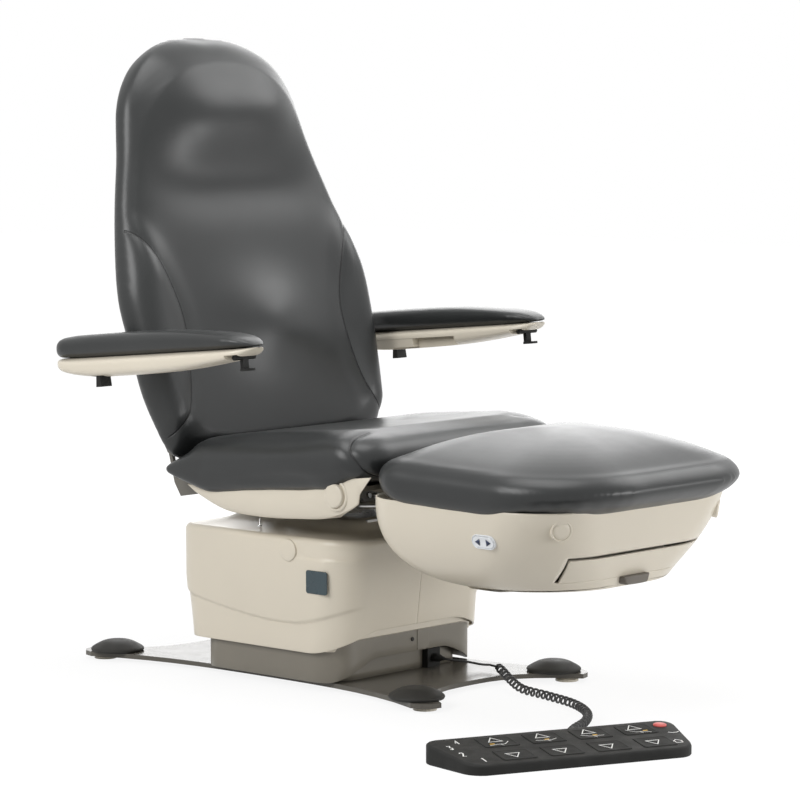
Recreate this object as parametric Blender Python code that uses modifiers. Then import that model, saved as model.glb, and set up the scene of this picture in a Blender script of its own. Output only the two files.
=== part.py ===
"""Bariatric procedure chair, modelled as the pieces it comes apart into.

Front is -Y and the sitter's left is +X. Heights are written above the floor: the whole chair
hangs from one empty that is lowered by the height of the levelling feet, so that the origin
lies on the underside of the base plate. Every joint has an empty on its axis, and the pieces
that move together are its children.
"""

import math

import bmesh
import bpy
import numpy as np
from mathutils import Matrix, Vector

for leftover in list(bpy.data.objects):
    bpy.data.objects.remove(leftover, do_unlink=True)

# Fits, in metres
SEAT_GAP = 0.0003          # between pieces that touch
PIN_CLEARANCE = 0.0006     # round a pin in its hole, on the radius
SLIDE_CLEARANCE = 0.0005   # between telescoping pieces
LINK_CLEARANCE = 0.0019    # round a push rod's pin, where a linkage is left open
JOIN = 0.0015              # how far one shape sinks into another that it is welded to

# Base plate and feet
FOOT_X = 0.230
FOOT_Y = 0.474
FOOT_RISE = 0.009
FOOT_RADIUS = 0.025
STEM_RADIUS = 0.006
PLATE_THICK = 0.010
PLATE_WAIST_X = 0.205
PLATE_WAIST_Y = 0.392
EAR_RADIUS = 0.045
CAP_RADIUS = 0.058
CAP_HEIGHT = 0.026
CAP_INWARD_X = 0.008
CAP_INWARD_Y = 0.030
PLATE_TOP = FOOT_RISE + PLATE_THICK

# Telescoping lift, innermost sizes follow from the outermost
COLUMN_HALF_X = 0.085
COLUMN_HALF_Y = 0.075
COLUMN_WALL = 0.006
COLUMN_TOP = 0.296
SPINDLE_RADIUS = 0.011
SPINDLE_WALL = 0.005
STAGE_RISE = 0.012         # foot of the middle stage above the plate
GEARBOX_HEIGHT = 0.045

# Sheet covers round the lift
SKIRT_HALF_X = 0.232
SKIRT_FRONT = -0.228
SKIRT_REAR = 0.172
SKIRT_TOP = 0.300
SKIRT_CORNER = 0.070
SKIRT_REAR_CORNER = 0.050
SKIRT_ARCH_HALF = 0.165
SKIRT_ARCH_TOP = 0.063
SHEET = 0.004
SHROUD_SPACE = 0.0015      # between one cover and the next
SHROUD_TOP = 0.310
COVER_BOTTOM = 0.083
COVER_FRONT_BOTTOM = 0.126
COVER_SHOULDER = 0.319
COVER_LEAN_FRONT = 0.030
COVER_LEAN_REAR = 0.040
COVER_ROOF = 0.345
COVER_ROOF_INSET = 0.060
PLUG_RADIUS = 0.016
PLUG_Y = -0.102
PLUG_Z = 0.300

# Yoke on top of the lift, and the seat tilt
YOKE_THICK = 0.012
TILT_Y = 0.100
TILT_Z = 0.385
PIN_RADIUS = 0.008
LUG_RADIUS = 0.016
LUG_THICK = 0.008
YOKE_LUG_X = 0.084
TILT_ROD_Y = -0.140
TILT_ROD_RADIUS = 0.010
TILT_BARREL_RADIUS = 0.024
TILT_BARREL_BOTTOM = 0.100
TILT_BORE_RISE = 0.020
TILT_PIN_DROP = 0.030      # below the seat pan
TILT_SLOT_HALF = 0.020

# Seat, in its own tilted frame with the tilt axis at zero
SEAT_PITCH = 5.0
PAN_HALF_X = 0.2976
PAN_BOTTOM = 0.020
PAN_THICK = 0.010
PAN_FRONT = -0.445
PAN_REAR = -0.005
SEAT_HALF_X = 0.330
SEAT_FRONT = -0.510
SEAT_REAR = -0.012
SEAT_TOP = 0.145
SEAT_FALL = 0.024          # of the top, towards the seat's front
SEAT_FALL_START = 0.330
SEAT_BACK_GAP = 0.010
SEAT_CORNER = 0.075
SEAT_NOSE_RISE = 0.022
SIDE_COVER_DEPTH = 0.050
SIDE_COVER_REAR = 0.025
SIDE_COVER_BELLY = 0.012
SIDE_COVER_NOSE_RISE = 0.022
SIDE_COVER_TAIL_RISE = 0.038
SIDE_COVER_FRONT = -0.500
SIDE_COVER_FLANGE = 0.070
SIDE_CAP_RADIUS = 0.025
SIDE_CAP_BEHIND = 0.078     # behind the leg section's pivot
SIDE_CAP_BELOW = 0.007      # below the seat pan

# Backrest, in its own leaned frame with the recline axis at zero
BACK_Y = 0.135
BACK_Z = 0.415
BACK_LEAN = 15.5
BACK_RANGE = 62.0
BACK_FRONT = -0.0247
BACK_THICK = 0.100
BACK_LOW = 0.060
BACK_TOP = 1.003
BACK_HALF_WIDTHS = ((0.06, 0.325), (0.17, 0.357), (0.36, 0.382), (0.46, 0.378), (0.61, 0.342),
                    (0.74, 0.300), (0.87, 0.260), (0.93, 0.225), (0.975, 0.165), (1.003, 0.070))
BACK_PANEL_THICK = 0.012
BACK_PANEL_INSET = 0.030
BACK_PANEL_SIDE = 0.075
BACK_LUG_X = 0.254
BACK_LEVER_X = 0.164

# Push rods under the seat, in the seat's frame
ROD_X = 0.150
ROD_RADIUS = 0.008
BARREL_RADIUS = 0.016
ROD_PIN_RADIUS = 0.005
BACK_ROD_Z = -0.006
BACK_BARREL_REAR = -0.060
BACK_BARREL_LENGTH = 0.190
LEG_ROD_Z = -0.020
LEG_BARREL_REAR = -0.120
LEG_BARREL_LENGTH = 0.200

# Armrests, in their own frame with the flip axis at zero
ARM_ALONG_BACK = 0.3013
ARM_SHAFT_RADIUS = 0.010
ARM_SHAFT_OFFSET = 0.026   # shaft centre behind the back panel
ARM_SHAFT_REACH = 0.0165   # past the middle of the armrest
ARM_PITCH = 5.6
ARM_X = 0.450
ARM_HALF = 0.045
ARM_SEAM = 0.0178
ARM_REAR = 0.036
ARM_TIP = -0.547
ARM_DEPTH = 0.048
ARM_PAD_HALF = 0.048
ARM_PAD_THICK = 0.040
ARM_HUB_RADIUS = 0.014
ARM_BAR_LENGTH = 0.200
ARM_BAR_WIDTH = 0.020
ARM_BAR_TOP = -0.002
ARM_BAR_LOW = -0.021
ARM_RECESS_FRONT = -0.345
TAB_Y = -0.100
TAB_WIDTH = 0.034
TAB_DEPTH = 0.020
TAB_DROP = 0.029
PADDLE_INSET = 0.045
PADDLE_Y = ARM_TIP + PADDLE_INSET
PADDLE_Z = -0.001
PADDLE_BAR_RADIUS = 0.0055
PADDLE_BAR_HALF = 0.030
PADDLE_ROOM = 0.0145
PADDLE_DROP = 0.026
PADDLE_RADIUS = 0.016
PADDLE_DISC = 0.005

# Leg section
LEG_Y = -0.380
LEG_Z = 0.440
LEG_DROP = 34.0
LEG_LUG_X = 0.172
HULL_RIM = 0.4395
HULL_BOTTOM = 0.262
HULL_HALF = 0.325
HULL_KEEL_HALF = 0.200
HULL_REAR = -0.368
HULL_KEEL_REAR = -0.600
HULL_FRONT = -0.885
HULL_KEEL_FRONT = -0.822
HULL_SIDE_POWER = 2.0
HULL_REAR_POWER = 2.6
HULL_FRONT_POWER = 1.25
HULL_KEEL_REAR_CORNER = 0.070
HULL_FRONT_CORNER = 0.140
HULL_LOW_CORNER = 0.195
HULL_KEEL_FRONT_CORNER = 0.135
HULL_KEEL_TURN = 12       # how late the front corners close to the keel
HULL_REAR_CORNER = 0.100
HULL_WALL = 0.004
HULL_CAP_RADIUS = 0.022
HULL_CAP_LEVEL = 0.80       # share of the shell's height
HULL_CAP_TURN = 40.0
HULL_CAP_PROUD = 0.003
TONGUE_HALF = 0.130
TONGUE_Z = 0.400
TONGUE_THICK = 0.010
TONGUE_FRONT = -0.800
RUNNER_REAR = -0.470
CARRIER_BAR_REAR = -0.425
RUNNER_FRONT = -0.740
RUNNER_WALL = 0.006
LEG_PAD_HALF = 0.345
LEG_PAD_REAR = -0.409
LEG_PAD_FRONT = -0.958
LEG_PAD_TOP = 0.580
LEG_PAD_CORNER = 0.215

# Drawer in the leg section
DRAWER_TOP = 0.343
DRAWER_LOW = 0.285
DRAWER_HALF_TOP = 0.210
DRAWER_HALF_LOW = 0.195
DRAWER_CLEARANCE = 0.0015
TRAY_HALF = 0.185
TRAY_FRONT = -0.775
TRAY_REAR = -0.500
TRAY_WALL = 0.003
TRAY_TOP = 0.334
TRAY_RAIL_INSET = 0.030
PULL_HALF = 0.043
PULL_HEIGHT = 0.018
PULL_DEPTH = 0.016
PULL_GRIP = 0.0045
PULL_EDGE = 0.003

# Rocker switch on the side of the leg section
SWITCH_Y = -0.706
SWITCH_Z = 0.377
SWITCH_LENGTH = 0.054
SWITCH_WIDTH = 0.024
BEZEL_MARGIN = 0.006
BEZEL_DEPTH = 0.014
BEZEL_PROUD = 0.0015
SWITCH_POCKET = 0.008
SWITCH_RIDGE = 0.003
SWITCH_PROUD = 0.003

# Foot control and its cord
CONTROL_X = -0.435
CONTROL_Y = -1.015
CONTROL_YAW = -23.5
CONTROL_REAR_HALF = 0.272
CONTROL_FRONT_HALF = 0.236
CONTROL_DEPTH = 0.170
CONTROL_REAR_HEIGHT = 0.042
CONTROL_FRONT_HEIGHT = 0.020
CONTROL_CORNER = 0.034
KEY_LENGTH = 0.072
KEY_WIDTH = 0.056
KEY_HEIGHT = 0.0060
KEY_PROUD = 0.0012
KEY_TRAVEL = 0.0015
KEY_PITCH = 0.100
KEY_ROW_PITCH = 0.078
KEY_SHIFT = 0.022
CORD_RADIUS = 0.0025
CURL_RADIUS = 0.0076
CURL_COUNT = 44
CURL_POINTS = 8
SOCKET_X = 0.085
SOCKET_Z = 0.040
SOCKET_HALF = 0.020
SOCKET_DEPTH = 0.034
PLUG_BODY_RADIUS = 0.009
PLUG_BODY_LENGTH = 0.028
CORD_ENTRY_X = 0.065
CORD_ENTRY_Z = 0.018

ROUND_SIDES = 16
CORNER_STEPS = 4
SIDES = (("right", -1), ("left", 1))

scene_root = bpy.context.scene.collection
parts = bpy.data.collections.new("bariatric_procedure_chair")
cutters = bpy.data.collections.new("cutters")
scene_root.children.link(parts)
scene_root.children.link(cutters)


def finish_of(name, colour, roughness, metallic=0.0):
    """A Principled material in one colour."""
    made = bpy.data.materials.new(name)
    made.use_nodes = True
    shader = made.node_tree.nodes["Principled BSDF"]
    shader.inputs["Base Color"].default_value = (*colour, 1.0)
    shader.inputs["Roughness"].default_value = roughness
    shader.inputs["Metallic"].default_value = metallic
    return made


VINYL = finish_of("charcoal_vinyl", (0.072, 0.078, 0.078), 0.42)
BEIGE = finish_of("beige_shell", (0.74, 0.67, 0.55), 0.38)
TAUPE = finish_of("taupe_paint", (0.20, 0.18, 0.145), 0.35, 0.2)
RUBBER = finish_of("cap_rubber", (0.065, 0.063, 0.056), 0.6)
BLACK = finish_of("black_plastic", (0.026, 0.026, 0.024), 0.5)
STEEL = finish_of("zinc_steel", (0.55, 0.55, 0.55), 0.35, 1.0)
FRAME_PAINT = finish_of("frame_paint", (0.055, 0.052, 0.048), 0.45, 0.3)
WHITE = finish_of("switch_white", (0.82, 0.85, 0.90), 0.35)
PULL_BROWN = finish_of("pull_brown", (0.14, 0.12, 0.095), 0.45)


def joint_empty(name, at, pitch=0.0, yaw=0.0, parent=None):
    """An empty on a joint's axis, at a place above the floor, kept there when it gets a parent."""
    empty = bpy.data.objects.new(name, None)
    empty.empty_display_size = 0.05
    parts.objects.link(empty)
    place = Matrix.Translation(at) @ Matrix.Rotation(math.radians(yaw), 4, "Z")
    place = place @ Matrix.Rotation(math.radians(pitch), 4, "X")
    if parent is None:
        empty.matrix_basis = place
        empty["floor_place"] = [value for row in place for value in row]
        return empty
    above = Matrix([parent["floor_place"][4 * row:4 * row + 4] for row in range(4)])
    empty.parent = parent
    empty.matrix_basis = above.inverted() @ place
    empty["floor_place"] = [value for row in place for value in row]
    return empty


def link(obj, body, material=None):
    """Hangs a shape on its body, as a part when it has a material and as a cutter when it has none."""
    if material is None:
        cutters.objects.link(obj)
        obj.hide_render = True
        obj.display_type = "WIRE"
    else:
        parts.objects.link(obj)
        obj.data.materials.append(material)
    obj.parent = body
    return obj


def mesh_object(name, points, faces, closed=True):
    """A mesh object, its faces turned outwards where the surface is closed."""
    mesh = bpy.data.meshes.new(name)
    mesh.from_pydata([tuple(point) for point in points], [], faces)
    if closed:
        shape = bmesh.new()
        shape.from_mesh(mesh)
        bmesh.ops.recalc_face_normals(shape, faces=shape.faces)
        shape.to_mesh(mesh)
        shape.free()
    mesh.shade_smooth()
    mesh.set_sharp_from_angle(angle=math.radians(35))
    return bpy.data.objects.new(name, mesh)


def block(name, low, high, bevel=0.0):
    """A box between two corners, with its edges rounded by a Bevel where a width is given."""
    low, high = np.array(low, float), np.array(high, float)
    shape = bmesh.new()
    bmesh.ops.create_cube(shape, size=1.0)
    bmesh.ops.scale(shape, vec=Vector(high - low), verts=shape.verts)
    bmesh.ops.translate(shape, vec=Vector((low + high) / 2), verts=shape.verts)
    mesh = bpy.data.meshes.new(name)
    shape.to_mesh(mesh)
    shape.free()
    obj = bpy.data.objects.new(name, mesh)
    if bevel:
        edge = obj.modifiers.new("round", "BEVEL")
        edge.width = bevel
        edge.segments = 2
    return obj


def cylinder(name, radius, start, end, sides=ROUND_SIDES):
    """A round bar from one point to another."""
    start, end = Vector(start), Vector(end)
    axis = end - start
    shape = bmesh.new()
    bmesh.ops.create_cone(
        shape, cap_ends=True, segments=sides, radius1=radius, radius2=radius, depth=axis.length
    )
    turn = Vector((0, 0, 1)).rotation_difference(axis).to_matrix().to_4x4()
    shape.transform(Matrix.Translation((start + end) / 2) @ turn)
    mesh = bpy.data.meshes.new(name)
    shape.to_mesh(mesh)
    shape.free()
    mesh.shade_smooth()
    mesh.set_sharp_from_angle(angle=math.radians(35))
    return bpy.data.objects.new(name, mesh)


def turned(name, profile, steps=ROUND_SIDES):
    """A profile of (radius, height) points, from the top down, turned round the vertical axis."""
    mesh = bpy.data.meshes.new(name)
    edges = [(i, i + 1) for i in range(len(profile) - 1)]
    mesh.from_pydata([(radius, 0.0, height) for radius, height in profile], edges, [])
    obj = bpy.data.objects.new(name, mesh)
    screw = obj.modifiers.new("turn", "SCREW")
    screw.steps = screw.render_steps = steps
    screw.use_merge_vertices = True
    screw.merge_threshold = 0.0001
    screw.use_smooth_shade = True
    return obj


PLANES = {
    "X": Matrix(((0, 0, 1, 0), (1, 0, 0, 0), (0, 1, 0, 0), (0, 0, 0, 1))),
    "Y": Matrix(((1, 0, 0, 0), (0, 0, -1, 0), (0, 1, 0, 0), (0, 0, 0, 1))),
    "Z": Matrix.Identity(4),
}


def plate(name, outlines, thick, normal="Z", middle=0.0):
    """A flat sheet cut to an outline, with any further outlines as holes, made a closed mesh.

    The outline lies in the plane square to the normal, and the sheet's middle is at that place on it.
    """
    curve = bpy.data.curves.new(name, "CURVE")
    curve.dimensions = "2D"
    curve.fill_mode = "BOTH"
    curve.extrude = thick / 2
    for outline in outlines:
        spline = curve.splines.new("POLY")
        spline.points.add(len(outline) - 1)
        for point, (u, v) in zip(spline.points, outline):
            point.co = (u, v, 0.0, 1.0)
        spline.use_cyclic_u = True
    drawn = bpy.data.objects.new(name + "_outline", curve)
    scene_root.objects.link(drawn)
    graph = bpy.context.evaluated_depsgraph_get()
    mesh = bpy.data.meshes.new_from_object(drawn.evaluated_get(graph))
    bpy.data.objects.remove(drawn, do_unlink=True)
    shape = bmesh.new()
    shape.from_mesh(mesh)
    bmesh.ops.remove_doubles(shape, verts=shape.verts, dist=1e-6)
    bmesh.ops.recalc_face_normals(shape, faces=shape.faces)
    along = {"X": (middle, 0, 0), "Y": (0, middle, 0), "Z": (0, 0, middle)}[normal]
    shape.transform(Matrix.Translation(along) @ PLANES[normal])
    shape.to_mesh(mesh)
    shape.free()
    mesh.name = name
    mesh.materials.clear()
    mesh.shade_smooth()
    mesh.set_sharp_from_angle(angle=math.radians(35))
    return bpy.data.objects.new(name, mesh)


def loft(name, rings, closed=True):
    """A skin over rings of equally many points, with both ends filled when it is closed."""
    count = len(rings[0])
    points = np.concatenate(rings)
    faces = [
        (
            ring * count + i,
            ring * count + (i + 1) % count,
            (ring + 1) * count + (i + 1) % count,
            (ring + 1) * count + i,
        )
        for ring in range(len(rings) - 1)
        for i in range(count)
    ]
    if closed:
        last = (len(rings) - 1) * count
        faces.append(tuple(range(count))[::-1])
        faces.append(tuple(range(last, last + count)))
    return mesh_object(name, points, faces, closed)


def shell(obj, wall):
    """Gives an open skin its wall, inwards from the surface that was drawn."""
    skin = obj.modifiers.new("wall", "SOLIDIFY")
    skin.thickness = wall
    skin.offset = -1.0
    skin.use_even_offset = True
    return obj


def soften(obj, levels=1):
    """Rounds a coarse cage into a soft form."""
    soft = obj.modifiers.new("soft", "SUBSURF")
    soft.levels = soft.render_levels = levels
    return obj


def combine(obj, operation, others):
    for other in others:
        step = obj.modifiers.new(other.name, "BOOLEAN")
        step.operation = operation
        step.object = other


def weld(obj, body, *others):
    """Joins further shapes to a piece."""
    combine(obj, "UNION", [link(other, body) for other in others])


def cut(obj, body, *others):
    """Takes shapes away from a piece."""
    combine(obj, "DIFFERENCE", [link(other, body) for other in others])


def arc(centre, radius, start, end, steps=CORNER_STEPS):
    """Points on a circle between two angles in degrees."""
    angles = np.radians(np.linspace(start, end, steps))
    return [(centre[0] + radius * math.cos(a), centre[1] + radius * math.sin(a)) for a in angles]


def circle(centre, radius, sides=ROUND_SIDES):
    return arc(centre, radius, 0, 360 - 360 / sides, sides)


def rounded_ring(half, front, rear, front_corner, rear_corner, height, steps=CORNER_STEPS):
    """A rectangle with rounded corners at one height, counter-clockwise from above."""
    outline = arc((half - rear_corner, rear - rear_corner), rear_corner, 0, 90, steps)
    outline += arc((rear_corner - half, rear - rear_corner), rear_corner, 90, 180, steps)
    outline += arc((front_corner - half, front + front_corner), front_corner, 180, 270, steps)
    outline += arc((half - front_corner, front + front_corner), front_corner, 270, 360, steps)
    return np.array([(x, y, height) for x, y in outline])


def teardrop(eye, radius, low, high):
    """Outline of a lug: a round eye drawn out to the edge between two points."""
    eye, low, high = (np.array(point, float) for point in (eye, low, high))
    if np.linalg.det(np.stack([high - low, eye - low])) < 0:
        low, high = high, low

    def tangent(point, side):
        away = point - eye
        reach = np.linalg.norm(away)
        angle = math.atan2(away[1], away[0]) + side * math.acos(radius / reach)
        return math.degrees(angle)

    start, end = tangent(high, 1), tangent(low, -1)
    end += 360.0 * math.ceil((start - end) / 360.0)
    return [tuple(low), tuple(high)] + arc(eye, radius, start, end, 2 * CORNER_STEPS)


def bowl(share, power):
    """How far a superellipse's side has drawn in, from 0 at the rim to 1 at the bottom."""
    return 1.0 - (1.0 - share ** power) ** (1.0 / power)


def ease(value, start, end):
    """A smooth step from 0 at the start to 1 at the end."""
    share = np.clip((value - start) / (end - start), 0.0, 1.0)
    return share * share * (3.0 - 2.0 * share)


def smooth_route(stations, count):
    """A Catmull-Rom curve through hand-placed points, read at even shares of its length."""
    given = np.array(stations, float)
    padded = np.vstack([2 * given[0] - given[1], given, 2 * given[-1] - given[-2]])
    dense = []
    for a, b, c, d in zip(padded[:-3], padded[1:-2], padded[2:-1], padded[3:]):
        t = np.linspace(0, 1, 40, endpoint=False)[:, None]
        dense.append(
            0.5 * (2 * b + (c - a) * t + (2 * a - 5 * b + 4 * c - d) * t ** 2
                   + (3 * b - a - 3 * c + d) * t ** 3)
        )
    dense = np.vstack(dense + [given[-1:]])
    walked = np.concatenate([[0], np.cumsum(np.linalg.norm(np.diff(dense, axis=0), axis=1))])
    wanted = np.linspace(0, walked[-1], count)
    return np.stack([np.interp(wanted, walked, dense[:, i]) for i in range(3)], axis=1)


def cord(name, route, body):
    """A round tube along a route, with filled ends."""
    curve = bpy.data.curves.new(name, "CURVE")
    curve.dimensions = "3D"
    curve.bevel_depth = CORD_RADIUS
    curve.bevel_resolution = 1
    curve.use_fill_caps = True
    spline = curve.splines.new("POLY")
    spline.points.add(len(route) - 1)
    for point, place in zip(spline.points, route):
        point.co = (*place, 1.0)
    obj = bpy.data.objects.new(name, curve)
    return link(obj, body, BLACK)


# The joints' empties, in the order in which they carry each other
root = joint_empty("chair", (0, 0, 0))
base = joint_empty("base", (0, 0, 0), parent=root)
lift_mid = joint_empty("lift_mid", (0, 0, 0), parent=base)
lift_top = joint_empty("lift_top", (0, 0, 0), parent=lift_mid)
tilt_rod_body = joint_empty("tilt_rod_slide", (0, TILT_ROD_Y, COVER_ROOF), parent=lift_top)
seat = joint_empty("seat_tilt", (0, TILT_Y, TILT_Z), pitch=-SEAT_PITCH, parent=lift_top)
back = joint_empty("back_recline", (0, BACK_Y, BACK_Z), pitch=-BACK_LEAN, parent=seat)
leg = joint_empty("leg_drop", (0, LEG_Y, LEG_Z), parent=seat)
leg_slide = joint_empty("leg_extend", (0, LEG_Y, LEG_Z), parent=leg)
drawer_slide = joint_empty("drawer_slide", (0, LEG_Y, LEG_Z), parent=leg_slide)


def floor_place(body):
    return Matrix([body["floor_place"][4 * row:4 * row + 4] for row in range(4)])


def within(body, other, point):
    """A point of one body's frame, as (y, z) in the frame of another."""
    there = floor_place(other).inverted() @ floor_place(body) @ Vector(point)
    return np.array((there.y, there.z))


def to_leg(obj):
    """Moves a shape drawn above the floor to the leg section's own frame."""
    obj.data.transform(Matrix.Translation((0, -LEG_Y, -LEG_Z)))
    return obj


def make_base():
    def edge(waist, ear, foot, count=7):
        along = np.linspace(-foot, foot, 2 * count + 1)
        return along, waist + (ear - waist) * np.abs(along / foot) ** 3

    y, x = edge(PLATE_WAIST_X, FOOT_X + EAR_RADIUS, FOOT_Y)
    long_side = list(zip(x, y))
    x, y = edge(PLATE_WAIST_Y, FOOT_Y + EAR_RADIUS, FOOT_X)
    short_side = list(zip(x[::-1], y[::-1]))
    outline = long_side + arc((FOOT_X, FOOT_Y), EAR_RADIUS, 0, 90)[1:-1] + short_side
    outline += arc((-FOOT_X, FOOT_Y), EAR_RADIUS, 90, 180)[1:-1]
    outline += [(-px, -py) for px, py in long_side]
    outline += arc((-FOOT_X, -FOOT_Y), EAR_RADIUS, 180, 270)[1:-1]
    outline += [(-px, -py) for px, py in short_side]
    outline += arc((FOOT_X, -FOOT_Y), EAR_RADIUS, 270, 360)[1:-1]
    corners = [(f"{end}_{side}", sx * FOOT_X, sy * FOOT_Y)
               for end, sy in (("front", -1), ("rear", 1)) for side, sx in SIDES]
    holes = [circle((x, y), STEM_RADIUS + PIN_CLEARANCE, 12) for _, x, y in corners]
    middle = FOOT_RISE + PLATE_THICK / 2
    link(plate("base_plate", [outline] + holes, PLATE_THICK, "Z", middle), base, TAUPE)

    dome = [(CAP_RADIUS * math.sin(a), CAP_HEIGHT * (0.2 + 0.8 * math.cos(a)))
            for a in np.radians(np.linspace(0, 90, 5))]
    disc_top = FOOT_RISE - SEAT_GAP
    foot = [(0, PLATE_TOP - SEAT_GAP), (STEM_RADIUS, PLATE_TOP - SEAT_GAP), (STEM_RADIUS, disc_top),
            (0.8 * FOOT_RADIUS, disc_top), (FOOT_RADIUS, disc_top / 2), (FOOT_RADIUS, 0), (0, 0)]
    for name, x, y in corners:
        cap = turned(f"corner_cap_{name}", dome + [(CAP_RADIUS, 0), (0, 0)])
        inward = math.copysign(CAP_INWARD_X, x), math.copysign(CAP_INWARD_Y, y)
        cap.location = (x - inward[0], y - inward[1], PLATE_TOP + SEAT_GAP)
        link(cap, base, RUBBER)
        disc = turned(f"levelling_foot_{name}", foot, 16)
        disc.location = (x, y, 0)
        link(disc, base, BEIGE)

    rings = [rounded_ring(SKIRT_HALF_X, SKIRT_FRONT, SKIRT_REAR, SKIRT_CORNER, SKIRT_REAR_CORNER, z)
             for z in (PLATE_TOP + SEAT_GAP, SKIRT_TOP)]
    skirt = link(shell(loft("base_skirt", rings, closed=False), SHEET), base, TAUPE)
    slope = 0.4 * SKIRT_ARCH_TOP
    arch = [(-SKIRT_ARCH_HALF, 0), (SKIRT_ARCH_HALF, 0),
            (SKIRT_ARCH_HALF - slope / 2, SKIRT_ARCH_TOP - slope),
            (SKIRT_ARCH_HALF - 2 * slope, SKIRT_ARCH_TOP), (2 * slope - SKIRT_ARCH_HALF, SKIRT_ARCH_TOP),
            (slope / 2 - SKIRT_ARCH_HALF, SKIRT_ARCH_TOP - slope)]
    cut(skirt, base, plate("skirt_arch", [arch], SKIRT_CORNER, "Y", SKIRT_FRONT))


def telescope(stage):
    """Half sizes of a column stage, counted inwards from the fixed one."""
    step = stage * (COLUMN_WALL + SLIDE_CLEARANCE)
    return COLUMN_HALF_X - step, COLUMN_HALF_Y - step


def column_stage(name, stage, low, high, body, material):
    half_x, half_y = telescope(stage)
    rings = [rounded_ring(half_x, -half_y, half_y, COLUMN_WALL, COLUMN_WALL, z, 2) for z in (low, high)]
    return link(shell(loft(name, rings, closed=False), COLUMN_WALL), body, material)


def front_notch(name, below, behind):
    """Cutter that lifts a cover's lower edge across the front, with an S-curve at the corners."""
    side = COVER_BOTTOM
    swing = [(behind - 0.5 * (below - side) * (1 + math.cos(math.pi * (1 - t))) - JOIN,
              side + (below - side) * t) for t in np.linspace(0, 1, 6)]
    outline = [(behind, 0)] + swing + [(SKIRT_FRONT - COVER_LEAN_FRONT - SKIRT_CORNER, below),
                                       (SKIRT_FRONT - COVER_LEAN_FRONT - SKIRT_CORNER, 0)]
    return plate(name, [outline], 4 * SKIRT_HALF_X, "X")


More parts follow.
